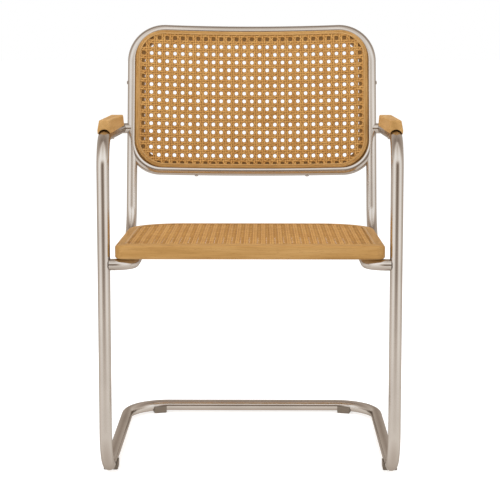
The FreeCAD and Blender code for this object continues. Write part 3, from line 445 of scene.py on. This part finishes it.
def reed_tree():
    # An oval reed along the input curve, lying flat.
    tree, given = sized_tree("Spline Reed", ["Width", "Crown"])
    half_width = given["Width"] * 0.5
    ring = field(tree, "GeometryNodeCurvePrimitiveCircle",
                 {"Resolution": REED_SIDES, "Radius": half_width})
    oval = field(tree, "GeometryNodeTransform", {
        "Geometry": ring, "Scale": vector(tree, 1, given["Crown"] / half_width, 1)})
    path = field(tree, "GeometryNodeSetCurveNormal", {"Curve": given["Geometry"]},
                 mode="Z_UP")
    bar = field(tree, "GeometryNodeCurveToMesh", {"Curve": path, "Profile Curve": oval})
    return close_tree(tree, given, bar)


def strand_profile(tree, width, thick, corners):
    # The section of a flat strand, turned so that it has a corner on its crown. The
    # attribute Edge runs from 0 on the crown to 1 on its sides; the cane material paints
    # shade into the creases by it.
    turn = 0.0 if corners % 4 == 0 else math.pi / corners
    reach = math.cos(turn)
    half_width = width * 0.5
    ring = field(tree, "GeometryNodeCurvePrimitiveCircle",
                 {"Resolution": corners, "Radius": half_width / reach})
    ring = field(tree, "GeometryNodeTransform",
                 {"Geometry": ring, "Rotation": (0, 0, turn)})
    x = split(tree, field(tree, "GeometryNodeInputPosition"))[0]
    ring = field(tree, "GeometryNodeStoreNamedAttribute",
                 {"Geometry": ring, "Name": "Edge", "Value": abs(x) / half_width},
                 data_type="FLOAT", domain="POINT")
    return field(tree, "GeometryNodeTransform", {
        "Geometry": ring, "Scale": vector(tree, 1, thick / width * reach, 1)})


def strand_family(tree, given, spacing, copies, run, runs, width, turn, shift, corners):
    # Parallel strands along Y, of so many runs from hole to hole, spaced along X
    # and then turned about Z.
    span = run * runs
    first = (copies - 1) * spacing * -0.5 + shift
    line = field(tree, "GeometryNodeMeshLine", {
        "Count": copies, "Offset": vector(tree, x=spacing),
        "Start Location": vector(tree, x=first)})
    strand = field(tree, "GeometryNodeCurvePrimitiveLine", {
        "Start": vector(tree, y=span * -0.5), "End": vector(tree, y=span * 0.5)})
    strand = field(tree, "GeometryNodeResampleCurve",
                   {"Curve": strand, "Count": runs * STRAND_RINGS + 1})
    strand = field(tree, "GeometryNodeSetCurveNormal", {"Curve": strand}, mode="Z_UP")
    strands = field(tree, "GeometryNodeInstanceOnPoints",
                    {"Points": line, "Instance": strand})
    strands = field(tree, "GeometryNodeRealizeInstances", {"Geometry": strands})
    strands = field(tree, "GeometryNodeCurveToMesh", {
        "Curve": strands,
        "Profile Curve": strand_profile(tree, width, given["Thickness"], corners)})
    return field(tree, "GeometryNodeTransform",
                 {"Geometry": strands, "Rotation": vector(tree, z=turn)})


def waved(tree, strands, where, shape, height):
    # Raises the strands along Z by a wave that turns once from hole to hole.
    phase = where.math("MULTIPLY_ADD", 2 * math.pi, math.pi)
    return field(tree, "GeometryNodeSetPosition", {
        "Geometry": strands, "Offset": vector(tree, z=phase.math(shape) * height)})


def weave_tree():
    # Open cane: pairs of strands both ways and two families of diagonals, each
    # waved over and under the others and trimmed to a rounded outline.
    tree, given = sized_tree("Woven Cane", [
        "Half Width", "Low", "High", "Near Corner", "Far Corner", "Pitch X", "Pitch Y",
        "Middle Y", "Pair", "Strand", "Diagonal", "Thickness", "Wave", "Diagonal Wave",
        "Drop"], ["Columns", "Rows"])
    pitch_x, pitch_y = given["Pitch X"], given["Pitch Y"]
    columns, rows = given["Columns"] + 1, given["Rows"] + 1
    x, y, _ = split(tree, field(tree, "GeometryNodeInputPosition"))
    across, along = x / pitch_x, y / pitch_y
    families = []
    # With an odd number of holes the middle one lies on the middle line, so the
    # pairs stand half a pitch to its sides.
    for side in (1, -1):
        for spacing, copies, run, runs, turn, where, rise in (
                (pitch_x, columns, pitch_y, rows, 0.0, along, side),
                (pitch_y, rows, pitch_x, columns, math.pi / 2, across, -side)):
            strands = strand_family(tree, given, spacing, copies, run, runs,
                                    given["Strand"], turn, given["Pair"] * side,
                                    PAIR_CORNERS)
            families.append(waved(tree, strands, where, "SINE", given["Wave"] * rise))
    # Diagonals run through the middles of the holes' sides.
    run = hypotenuse(pitch_x, pitch_y)
    runs = ((columns + rows) * 0.5).math("CEIL")
    slope = pitch_x.math("ARCTAN2", pitch_y)
    for side in (1, -1):
        strands = strand_family(tree, given, pitch_x * pitch_y / run, runs * 2, run, runs,
                                given["Diagonal"], slope * -side, 0.0, DIAGONAL_CORNERS)
        families.append(waved(tree, strands, along, "COSINE",
                              given["Diagonal Wave"] * side))
    join = node(tree, "GeometryNodeJoinGeometry")
    for family in families:
        wire(family, join.inputs["Geometry"])
    # The weave is lowered, trimmed to an outline round the origin and moved to its place.
    is_far = y > 0.0
    corner = is_far * given["Far Corner"] + (1.0 - is_far) * given["Near Corner"]
    beyond = outline_distance(x, y, given["Half Width"],
                              (given["High"] - given["Low"]) * 0.5, corner)
    weave = field(tree, "GeometryNodeTransform", {
        "Geometry": Field(tree, join.outputs["Geometry"]),
        "Translation": vector(tree, y=given["Drop"] * -1.0)})
    weave = field(tree, "GeometryNodeDeleteGeometry",
                  {"Geometry": weave, "Selection": beyond > 0.0}, domain="FACE")
    weave = field(tree, "GeometryNodeSetPosition",
                  {"Geometry": weave, "Offset": vector(tree, y=given["Middle Y"])})
    return close_tree(tree, given, weave)


# Materials


def new_material(name):
    material = bpy.data.materials.new(name)
    material.use_nodes = True
    return material, material.node_tree


def shade(tree, inputs):
    # Feeds the material's own shader.
    for label, value in inputs.items():
        wire(value, tree.nodes["Principled BSDF"].inputs[label])


def coat(tree, tone, marks, rough, bump, depth):
    # Colour, with roughness and bump from the fine marks.
    roughness = field(tree, "ShaderNodeMapRange",
                      {"Value": marks, "To Min": rough[0], "To Max": rough[1]})
    normal = field(tree, "ShaderNodeBump",
                   {"Strength": bump, "Distance": depth, "Height": marks})
    shade(tree, {"Base Color": tone, "Roughness": roughness, "Normal": normal})


def object_place(tree):
    return field(tree, "ShaderNodeTexCoord", output="Object")


def noise(tree, scale, detail, rough=0.5, stretch=(1, 1, 1)):
    where = field(tree, "ShaderNodeMapping",
                  {"Vector": object_place(tree), "Scale": stretch})
    return field(tree, "ShaderNodeTexNoise", {
        "Vector": where, "Scale": scale, "Detail": detail, "Roughness": rough})


def ramp(tree, factor, stops):
    made = node(tree, "ShaderNodeValToRGB", {"Fac": factor})
    line = made.color_ramp
    while len(line.elements) < len(stops):
        line.elements.new(0.5)
    for element, (position, value) in zip(line.elements, stops):
        element.position = position
        element.color = (*value, 1)
    return Field(tree, made.outputs["Color"])


def blend(tree, factor, low, high, **settings):
    # From low to high as the factor goes from 0 to 1.
    return field(tree, "ShaderNodeMix", {"Factor": factor, "A": low, "B": high},
                 output="Result", **settings)


def marked(tree, tone, layer, strength):
    # A colour darkened by a layer of marks.
    return blend(tree, strength, tone, layer, data_type="RGBA", blend_type="MULTIPLY")


def mottled(tree, factor, base):
    # A plain colour with darker patches.
    dark = [channel * PATCH_SHADE for channel in base]
    return ramp(tree, factor, [(0.3, dark), (0.7, base)])


def nickel_material(finish):
    material, tree = new_material("Satin Nickel")
    cloud = noise(tree, scale=9.0, detail=2.0)
    tone = ramp(tree, cloud, [(0.3, finish.nickel_dark), (0.62, finish.nickel)])
    fine = noise(tree, scale=900.0, detail=2.0)
    coat(tree, tone, fine, rough=(0.12, 0.19), bump=0.04, depth=0.0002)
    shade(tree, {"Metallic": 1.0, "Specular Tint": (*finish.nickel_edge, 1)})
    return material


def wood_layers(tree, finish, long_axis, paler):
    # Long soft figure, fine pores and the short dark flecks of beech.
    def grain(along, **sizes):
        stretch = [along if axis == long_axis else 1.0 for axis in "XYZ"]
        return noise(tree, stretch=stretch, **sizes)

    figure = grain(along=0.07, scale=75.0, detail=4.0, rough=0.55)
    pores = grain(along=0.035, scale=620.0, detail=3.0, rough=0.6)
    flecks = grain(along=0.16, scale=900.0, detail=2.0)
    tone = ramp(tree, figure, [
        (where, [channel * rise for channel, rise in zip(stain, paler)])
        for where, stain in ((0.30, finish.beech_dark), (0.50, finish.beech),
                             (0.72, finish.beech_light))])
    lines = ramp(tree, pores, [(0.36, (0.72, 0.66, 0.58)), (0.52, WHITE)])
    dots = ramp(tree, flecks, [(0.30, (0.66, 0.56, 0.46)), (0.38, WHITE)])
    tone = marked(tree, tone, lines, strength=0.5)
    return marked(tree, tone, dots, strength=0.6), pores


def painted_shade_behind_cane(tree, panel):
    # 1 in the rabbet and round the opening, where the wood lies behind the cane and painted
    # shade darkens it for the shadow seen through the holes.
    local = field(tree, "ShaderNodeMapping", {
        "Vector": object_place(tree), "Location": panel.place.translation,
        "Rotation": panel.place.to_euler()}, vector_type="TEXTURE")
    x, y, z = split(tree, local)
    if panel.bow_radius:
        depth = hypotenuse(x, y - panel.bow_centre) - (panel.bow_radius - panel.face)
        along = z
    else:
        depth = panel.face - z
        along = y
    along = along - (panel.low + panel.high) / 2
    corner = (along > 0.0).math("MULTIPLY_ADD", panel.far - panel.near, panel.near)
    beyond = outline_distance(x, along, panel.half, (panel.high - panel.low) / 2, corner)
    return (beyond < 0.0) * ((depth > panel.painted_shade_from) * (depth < panel.shade_to))


def beech_material(name, finish, rails=None, panel=None, paler=(1, 1, 1)):
    # With rails given, the grain follows the side rails beyond the mitres.
    material, tree = new_material(name)
    if rails is None:
        tone, pores = wood_layers(tree, finish, "Y", paler)
    else:
        cross_axis, middle, half_x, half_cross = rails
        tone_x, pores_x = wood_layers(tree, finish, "X", paler)
        tone_c, pores_c = wood_layers(tree, finish, cross_axis, paler)
        where = split(tree, object_place(tree))
        far_x = half_x - abs(where[0])
        far_c = half_cross - abs(where["XYZ".index(cross_axis)] - middle)
        is_side = far_x < far_c
        tone = blend(tree, is_side, tone_x, tone_c, data_type="RGBA")
        pores = blend(tree, is_side, pores_x, pores_c)
    # Painted shade: the wood behind the cane is darkened for the shadow there.
    if panel is not None:
        tone = blend(tree, painted_shade_behind_cane(tree, panel), tone, (*finish.beech_painted_shade, 1),
                     data_type="RGBA")
    coat(tree, tone, pores, rough=(0.62, 0.50), bump=0.12, depth=0.0003)
    shade(tree, {"Specular IOR Level": 0.28})
    return material


def cane_material(finish):
    # Glossy crowns, painted shade in the creases beside them, patches and fine fibres.
    material, tree = new_material("Woven Cane")
    patch = noise(tree, scale=60.0, detail=3.0)
    fibre = noise(tree, scale=1500.0, detail=2.0)
    tone = ramp(tree, patch, [(0.32, finish.cane), (0.68, finish.cane_light)])
    # Painted shade towards the edges of a crown, for the creases between strands, and less
    # of it on the upright sides.
    edge = field(tree, "ShaderNodeAttribute", output="Fac", attribute_name="Edge")
    painted_crease_shade = ramp(tree, edge, [(where, (dark,) * 3) for where, dark in (
        (0.40, 0.0), (0.88, 1.0), (0.985, 1.0), (1.0, 0.30))])
    tone = blend(tree, painted_crease_shade, tone, (*finish.cane_crease_shade, 1), data_type="RGBA")
    fine = ramp(tree, fibre, [(0.35, (0.78, 0.74, 0.68)), (0.6, WHITE)])
    tone = marked(tree, tone, fine, strength=0.6)
    coat(tree, tone, fibre, rough=(0.56, 0.44), bump=0.15, depth=0.0001)
    shade(tree, {"Specular IOR Level": 0.32})
    return material


def reed_material(finish):
    # Smooth split reed with fine marks.
    material, tree = new_material("Split Reed")
    tone = mottled(tree, noise(tree, scale=45.0, detail=3.0), finish.reed)
    fibre = noise(tree, scale=1100.0, detail=2.0)
    fine = ramp(tree, fibre, [(0.35, (0.84, 0.80, 0.74)), (0.6, WHITE)])
    tone = marked(tree, tone, fine, strength=0.6)
    coat(tree, tone, fibre, rough=(0.5, 0.36), bump=0.12, depth=0.0001)
    return material


def plastic_material(finish):
    material, tree = new_material("Taupe Plastic")
    grain = noise(tree, scale=1400.0, detail=2.0)
    tone = mottled(tree, grain, finish.plastic)
    coat(tree, tone, grain, rough=(0.48, 0.6), bump=0.2, depth=0.0001)
    return material


def paint_nodes(names, material):
    for name in names:
        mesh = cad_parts[name].data
        mesh.materials.clear()
        mesh.materials.append(material)


# Operators


def ride_root(piece, node_name):
    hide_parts(node_name)
    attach(piece, "root")


class OBJECT_OT_chair_tubes(bpy.types.Operator):
    """Makes the bent tubes of the floor loop, the seat and back loop and the arms"""

    bl_idname = "object.chair_tubes"
    bl_label = "Bent Tubes"

    def execute(self, context):
        tubes = context.scene.chair_tubes
        nickel = nickel_material(context.scene.chair_finish)
        tree = tube_tree()
        back = place_back(tubes)

        def up_back(side, rise, behind=0.0):
            return back @ Vector((side, behind, rise))

        def tube(name, points, radii, diameter, node_name):
            curve = curve_object(name, bent_points(points, radii, tubes.step))
            piece = run_tree(curve, tree, {"Radius": diameter / 2, "Sides": tubes.sides,
                                           "Material": nickel})
            ride_root(piece, node_name)

        rear = tubes.front + tubes.runner
        left = [arm_point(tubes, tubes.upright_setback + tubes.arm_tail),
                Vector((-tubes.leg_span, tubes.front, tubes.arm_height)),
                Vector((-tubes.leg_span, tubes.front, tubes.floor_rise)),
                Vector((-tubes.leg_span, rear, tubes.floor_rise))]
        radii = [tubes.arm_bend, tubes.leg_bend, tubes.leg_bend]
        tube("FloorLoop", left + mirrored(left), radii + radii[::-1], tubes.base_tube,
             "base_frame_tube")

        # The rail ends where it meets the leaning upright.
        lean = math.tan(tubes.recline)
        drop = arm_height_at(tubes, tubes.upright_setback) - tubes.stub_height
        rail_end = tubes.upright_setback - drop * lean
        rail_end /= 1 + math.tan(tubes.rail_fall) * lean
        bow = bow_angle(tubes, tubes.upright_span, tubes.top_bend)
        left = [rail_point(tubes, tubes.leg_span - tubes.cope, 0),
                rail_point(tubes, tubes.rail_span, 0),
                rail_point(tubes, tubes.rail_span, tubes.flare_start),
                rail_point(tubes, tubes.upright_span, tubes.flare_end),
                rail_point(tubes, tubes.upright_span, rail_end),
                up_back(-tubes.upright_span, tubes.top_rise)]
        radii = [tubes.stub_bend, tubes.flare_bend, tubes.flare_bend,
                 tubes.upright_bend, tubes.top_bend]
        middle = [up_back(0, tubes.top_rise, tubes.upright_span * math.tan(bow))]
        tube("BackLoop", left + middle + mirrored(left),
             radii + [tubes.back_bow] + radii[::-1], tubes.back_tube, "seat_back_tube")

        bow = bow_angle(tubes, tubes.low_span, tubes.low_bend)
        behind = bow_centre(tubes) + tubes.back_bow / math.cos(bow)
        corner = behind - tubes.low_span * math.tan(bow)
        left = [up_back(-tubes.upright_span, tubes.low_rise - tubes.low_drop),
                up_back(-tubes.low_span, -tubes.low_drop, corner)]
        tube("LowRail", left + [up_back(0, -tubes.low_drop, behind)] + mirrored(left),
             [tubes.low_bend, tubes.back_bow, tubes.low_bend], tubes.back_tube,
             "back_lower_rail")
        paint_nodes(["arm_stub_left", "arm_stub_right"], nickel)
        return {"FINISHED"}


def rounded_points(half_width, low, high, near, far):
    # A closed outline with near corners below and far corners above.
    points = []
    for x, y, radius, start in ((1, low + near, near, -90), (1, high - far, far, 0),
                                (-1, high - far, far, 90), (-1, low + near, near, 180)):
        centre = Vector((x * (half_width - radius), y, 0))
        for point in range(CORNER_POINTS + 1):
            turn = math.radians(start + 90 * point / CORNER_POINTS)
            points.append(centre + Vector((math.cos(turn), math.sin(turn), 0)) * radius)
    # Long sides get points of their own, so that they can be bowed.
    dense = []
    for here, there in zip(points, points[1:] + points[:1]):
        cuts = max(1, math.ceil((there - here).length / POINT_GAP))
        dense += [here.lerp(there, cut / cuts) for cut in range(cuts)]
    return dense


def bow_mesh(mesh, centre, radius, ahead):
    # Panel coordinates (x across, y up, z towards the sitter) to the back's frame.
    for vertex in mesh.vertices:
        x, y, z = vertex.co
        surface = centre + math.sqrt((radius - ahead) ** 2 - x * x)
        vertex.co = (x, surface - z, y)


class OBJECT_OT_chair_cane(bpy.types.Operator):
    """Weaves the cane of the seat and the back and lays the splines round them"""

    bl_idname = "object.chair_cane"
    bl_label = "Cane and Splines"

    def execute(self, context):
        tubes, cane = context.scene.chair_tubes, context.scene.chair_cane
        panels, finish = context.scene.chair_panels, context.scene.chair_finish
        material, band = cane_material(finish), reed_material(finish)
        weave, reed = weave_tree(), reed_tree()
        to_back, to_seat = place_back(tubes), place_seat(tubes, panels)

        def settle_back(mesh, below):
            bow_mesh(mesh, bow_centre(tubes), tubes.back_bow, panels.back_ahead - below)
            mesh.transform(to_back)
            mesh.flip_normals()

        def settle_seat(mesh, below):
            lift = Matrix.Translation((0, 0, panels.seat_thick - below))
            mesh.transform(to_seat @ lift)

        def lay(weave_name, reed_name, nodes, settle, thick, reed_width, outline, sizes):
            # The weave stands in for the first node and its spline for the second.
            half_width, low, high, near, far = outline
            piece = run_tree(curve_object(weave_name, SEED), weave, {
                "Half Width": half_width, "Low": low, "High": high, "Near Corner": near,
                "Far Corner": far, "Middle Y": (low + high) / 2, "Thickness": thick,
                "Pair": cane.pair, "Strand": cane.strand, "Diagonal": cane.diagonal,
                "Wave": cane.wave, "Diagonal Wave": cane.diagonal_wave,
                "Material": material, **sizes})
            settle(piece.data, thick / 2 + cane.diagonal_wave)
            ride_root(piece, nodes[0])
            strip = run_tree(curve_object(reed_name, rounded_points(*outline), True), reed,
                             {"Width": reed_width, "Crown": reed_width / REED_FLATNESS,
                              "Material": band})
            settle(strip.data, 0.0)
            ride_root(strip, nodes[1])

        inset = panels.back_border + cane.back_reed / 2
        corner = panels.back_corner - inset
        lay("BackWeave", "BackReed", ("back_cane", "back_cane_spline"), settle_back,
            cane.thick, cane.back_reed,
            (panels.back_half - inset, panels.back_low + inset, panels.back_high - inset,
             corner, corner),
            {"Pitch X": cane.back_pitch_x, "Pitch Y": cane.back_pitch_y,
             "Columns": cane.back_columns, "Rows": cane.back_rows, "Drop": cane.back_drop})
        inset = panels.seat_border + cane.reed / 2
        lay("SeatWeave", "SeatReed", ("seat_cane", "seat_cane_spline"), settle_seat,
            cane.seat_strand, cane.reed,
            (panels.seat_half - inset, inset, panels.seat_depth - inset,
             panels.spline_corner - cane.reed / 2, panels.seat_rear_corner - inset),
            {"Pitch X": cane.seat_pitch, "Pitch Y": cane.seat_pitch,
             "Columns": cane.seat_columns, "Rows": cane.seat_rows})
        return {"FINISHED"}


class OBJECT_OT_chair_wood(bpy.types.Operator):
    """Gives the seat frame, the back frame and the arm pads their wood"""

    bl_idname = "object.chair_wood"
    bl_label = "Wooden Parts"

    def execute(self, context):
        tubes, panels = context.scene.chair_tubes, context.scene.chair_panels
        finish = context.scene.chair_finish
        # Each panel's opening, with the depths between which shade is painted on the wood
        # behind the cane.
        border = panels.back_border
        back = SimpleNamespace(
            place=place_back(tubes), bow_radius=tubes.back_bow,
            bow_centre=bow_centre(tubes), face=panels.back_ahead,
            half=panels.back_half - border,
            low=panels.back_low + border, high=panels.back_high - border,
            near=panels.back_corner - border, far=panels.back_corner - border,
            painted_shade_from=panels.painted_shade_from, shade_to=panels.back_painted_shade)
        border = panels.seat_border
        seat = SimpleNamespace(
            place=place_seat(tubes, panels), bow_radius=0.0, face=panels.seat_thick,
            half=panels.seat_half - border, low=border, high=panels.seat_depth - border,
            near=panels.spline_corner, far=panels.seat_rear_corner - border,
            painted_shade_from=panels.painted_shade_from, shade_to=panels.seat_painted_shade)
        for name, cross, panel in (("seat_frame", "Y", seat), ("back_frame", "Z", back)):
            low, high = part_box(name)
            axis = "XYZ".index(cross)
            rails = (cross, (low[axis] + high[axis]) / 2, high[0],
                     (high[axis] - low[axis]) / 2)
            title = name.replace("_", " ").title() + " Beech"
            paint_nodes([name], beech_material(title, finish, rails, panel))
        paint_nodes(["arm_pad_left", "arm_pad_right"],
                    beech_material("Arm Beech", finish, paler=finish.arm_tint))
        return {"FINISHED"}


class OBJECT_OT_chair_fittings(bpy.types.Operator):
    """Gives the glides, end plugs and screws their finish"""

    bl_idname = "object.chair_fittings"
    bl_label = "Glides, Plugs and Screws"

    def execute(self, context):
        plastic = plastic_material(context.scene.chair_finish)
        paint_nodes([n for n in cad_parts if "glide" in n or "plug" in n], plastic)
        paint_nodes([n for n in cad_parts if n.endswith("screws")],
                    bpy.data.materials["Satin Nickel"])
        return {"FINISHED"}


# What metal sees of the studio. By the bearing, from its dark front end (0) to its
# back wall (1): the walls at eye level, and what lies above them.
BEARING_TONES = [(0.0, 0.22), (0.07, 0.26), (0.12, 0.46), (0.20, 0.92), (0.30, 1.16),
                 (0.38, 1.06), (0.50, 0.70), (0.64, 0.58), (0.76, 0.64), (0.87, 0.86),
                 (0.95, 0.60), (1.0, 0.50)]
RAISED_TONES = [(0.0, 1.06), (0.06, 1.06), (0.17, 1.28), (0.29, 1.30), (0.40, 0.74),
                (0.55, 0.44), (0.70, 0.50), (0.84, 0.64), (1.0, 0.55)]
# By the slope, from level (0) to straight up or down (1): how what lies above fades
# towards the ceiling, and the floor.
UPWARD_TONES = [(0.0, 1.0), (0.50, 1.0), (0.75, 0.84), (0.92, 0.66), (1.0, 0.62)]
DOWNWARD_TONES = [(0.0, 0.80), (0.45, 0.84), (1.0, 0.62)]
# The slopes between which the walls give way upwards and downwards.
UPWARD_EASE = (0.20, 0.50)
DOWNWARD_EASE = (0.13, 0.27)
# A ramp holds colours up to 1, so it holds the tones divided by this.
HEADROOM = 2.0
# Darker parts are browner: the tint of a tone, from black (0) to the brightest (1).
BRIGHTEST = 1.4
STUDIO_TINTS = [(0.15, (1, 0.77, 0.60)), (0.43, (1, 0.875, 0.765)),
                (0.64, (1, 0.935, 0.865)), (0.86, (1, 0.985, 0.965))]

# Each lamp: its name, the property with its power, its size, its place and the height
# above the origin that it points at
LAMPS = (("Left Box", "key", (0.9, 3.4), (-2.9, -2.1, 1.5), 0.7),
         ("Right Box", "fill", (0.9, 3.4), (2.9, -2.3, 1.5), 0.7),
         ("Top Box", "top", (2.6, 2.2), (0, 0.2, 3.4), 0.5))
FLOOR_REACH = 30.0
FLOOR_GREY = 0.8
FLOOR_ROUGHNESS = 0.9
SENSOR_WIDTH = 36
CAMERA_REACH = 100


def tone_ramp(tree, factor, stops):
    return ramp(tree, factor, [(where, (tone / HEADROOM,) * 3)
                               for where, tone in stops]) * HEADROOM


def studio_tone(tree):
    x, y, z = split(tree, field(tree, "ShaderNodeTexCoord", output="Generated"))
    bearing = abs(x.math("ARCTAN2", y * -1.0)) / math.pi
    walls = tone_ramp(tree, bearing, BEARING_TONES)
    raised = tone_ramp(tree, bearing, RAISED_TONES)
    slope = abs(z)
    upward = raised * tone_ramp(tree, slope, UPWARD_TONES)
    beyond = blend(tree, z > 0.0, tone_ramp(tree, slope, DOWNWARD_TONES), upward)
    # Below the horizon the dark end gives way to the floor sooner than above it.
    share = 0.0
    for side, (low, high) in ((1.0, UPWARD_EASE), (-1.0, DOWNWARD_EASE)):
        ease = field(tree, "ShaderNodeMapRange", {
            "Value": z * side, "From Min": low, "From Max": high},
            interpolation_type="SMOOTHSTEP")
        share = ease.math("MAXIMUM", share)
    return blend(tree, share, walls, beyond)


def ray_kinds(tree):
    # 1 for rays from the camera, also through glass, and 1 for mirrored rays.
    rays = node(tree, "ShaderNodeLightPath").outputs
    camera, through, glossy = (Field(tree, rays[f"Is {kind} Ray"])
                               for kind in ("Camera", "Transmission", "Glossy"))
    return camera.math("MAXIMUM", through), glossy


class SCENE_OT_chair_stage(bpy.types.Operator):
    """Makes the floor, the lights, the background and the camera"""

    bl_idname = "scene.chair_stage"
    bl_label = "Studio"

    def execute(self, context):
        scene, studio = context.scene, context.scene.chair_studio
        mesh = bpy.data.meshes.new("StudioFloor")
        mesh.from_pydata([(x * FLOOR_REACH, y * FLOOR_REACH, 0)
                          for x, y in ((-1, -1), (1, -1), (1, 1), (-1, 1))],
                         [], [(0, 1, 2, 3)])
        floor = add_object("StudioFloor", mesh)
        material, tree = new_material("Pale Floor")
        seen, _ = ray_kinds(tree)
        shade(tree, {"Base Color": (FLOOR_GREY, FLOOR_GREY, FLOOR_GREY, 1),
                     "Roughness": FLOOR_ROUGHNESS, "Specular IOR Level": 0.0,
                     "Emission Strength": seen * studio.floor_glow,
                     "Emission Color": (*WHITE, 1)})
        mesh.materials.append(material)
        floor.visible_glossy = False

        world = bpy.data.worlds.new("Studio Sky")
        world.use_nodes = True
        tree = world.node_tree
        sky = tree.nodes["Background"]
        # The camera sees white, metal sees the studio's tones, and the rest of the
        # light is an even sky.
        seen, glossy = ray_kinds(tree)
        tone = studio_tone(tree)
        seen = seen.math("MAXIMUM", glossy * tone)
        tints = ramp(tree, tone / BRIGHTEST, STUDIO_TINTS)
        wire(blend(tree, glossy, (*WHITE, 1), tints, data_type="RGBA"), sky.inputs["Color"])
        even = 1.0 - glossy.math("MAXIMUM", seen)
        wire(even.math("MULTIPLY_ADD", studio.sky, seen), sky.inputs["Strength"])
        scene.world = world

        for name, power, size, place, aim in LAMPS:
            lamp = bpy.data.lights.new(name, "AREA")
            lamp.shape = "RECTANGLE"
            lamp.energy = getattr(studio, power)
            lamp.size, lamp.size_y = size
            made = add_object(name, lamp)
            made.visible_glossy = False
            made.location = place
            made.rotation_euler = (Vector((0, 0, aim)) - Vector(place)).to_track_quat(
                "-Z", "Y").to_euler()

        camera = bpy.data.cameras.new("Camera")
        camera.lens = studio.focal
        camera.sensor_width = SENSOR_WIDTH
        camera.shift_y = -studio.camera_drop
        camera.clip_end = CAMERA_REACH
        made = add_object("Camera", camera)
        made.location = (studio.camera_side, -studio.camera_back, studio.camera_rise)
        made.rotation_euler = (math.pi / 2 - studio.camera_tilt, 0, studio.camera_turn)
        scene.camera = made
        scene.view_settings.view_transform = "Standard"
        return {"FINISHED"}


class VIEW3D_PT_study_chair(bpy.types.Panel):
    bl_idname = "VIEW3D_PT_study_chair"
    bl_label = "Study Chair"
    bl_space_type = "VIEW_3D"
    bl_region_type = "UI"
    bl_category = "Study Chair"

    def draw(self, context):
        layout = self.layout
        for operator in OPERATORS:
            layout.operator(operator.bl_idname)
        for name, group in PROPERTY_GROUPS.items():
            box = layout.box()
            box.label(text=group.__name__)
            for prop in group.__annotations__:
                box.prop(getattr(context.scene, name), prop)


OPERATORS = (
    OBJECT_OT_chair_tubes,
    OBJECT_OT_chair_cane,
    OBJECT_OT_chair_wood,
    OBJECT_OT_chair_fittings,
    SCENE_OT_chair_stage,
)


def register():
    for name, group in PROPERTY_GROUPS.items():
        bpy.utils.register_class(group)
        setattr(bpy.types.Scene, name, PointerProperty(type=group))
    for operator in OPERATORS:
        bpy.utils.register_class(operator)
    bpy.utils.register_class(VIEW3D_PT_study_chair)


def unregister():
    bpy.utils.unregister_class(VIEW3D_PT_study_chair)
    for operator in reversed(OPERATORS):
        bpy.utils.unregister_class(operator)
    for name, group in reversed(list(PROPERTY_GROUPS.items())):
        delattr(bpy.types.Scene, name)
        bpy.utils.unregister_class(group)


def main():
    register()
    bpy.ops.object.chair_tubes()
    bpy.ops.object.chair_cane()
    bpy.ops.object.chair_wood()
    bpy.ops.object.chair_fittings()
    bpy.ops.scene.chair_stage()


if __name__ == "__main__":
    main()
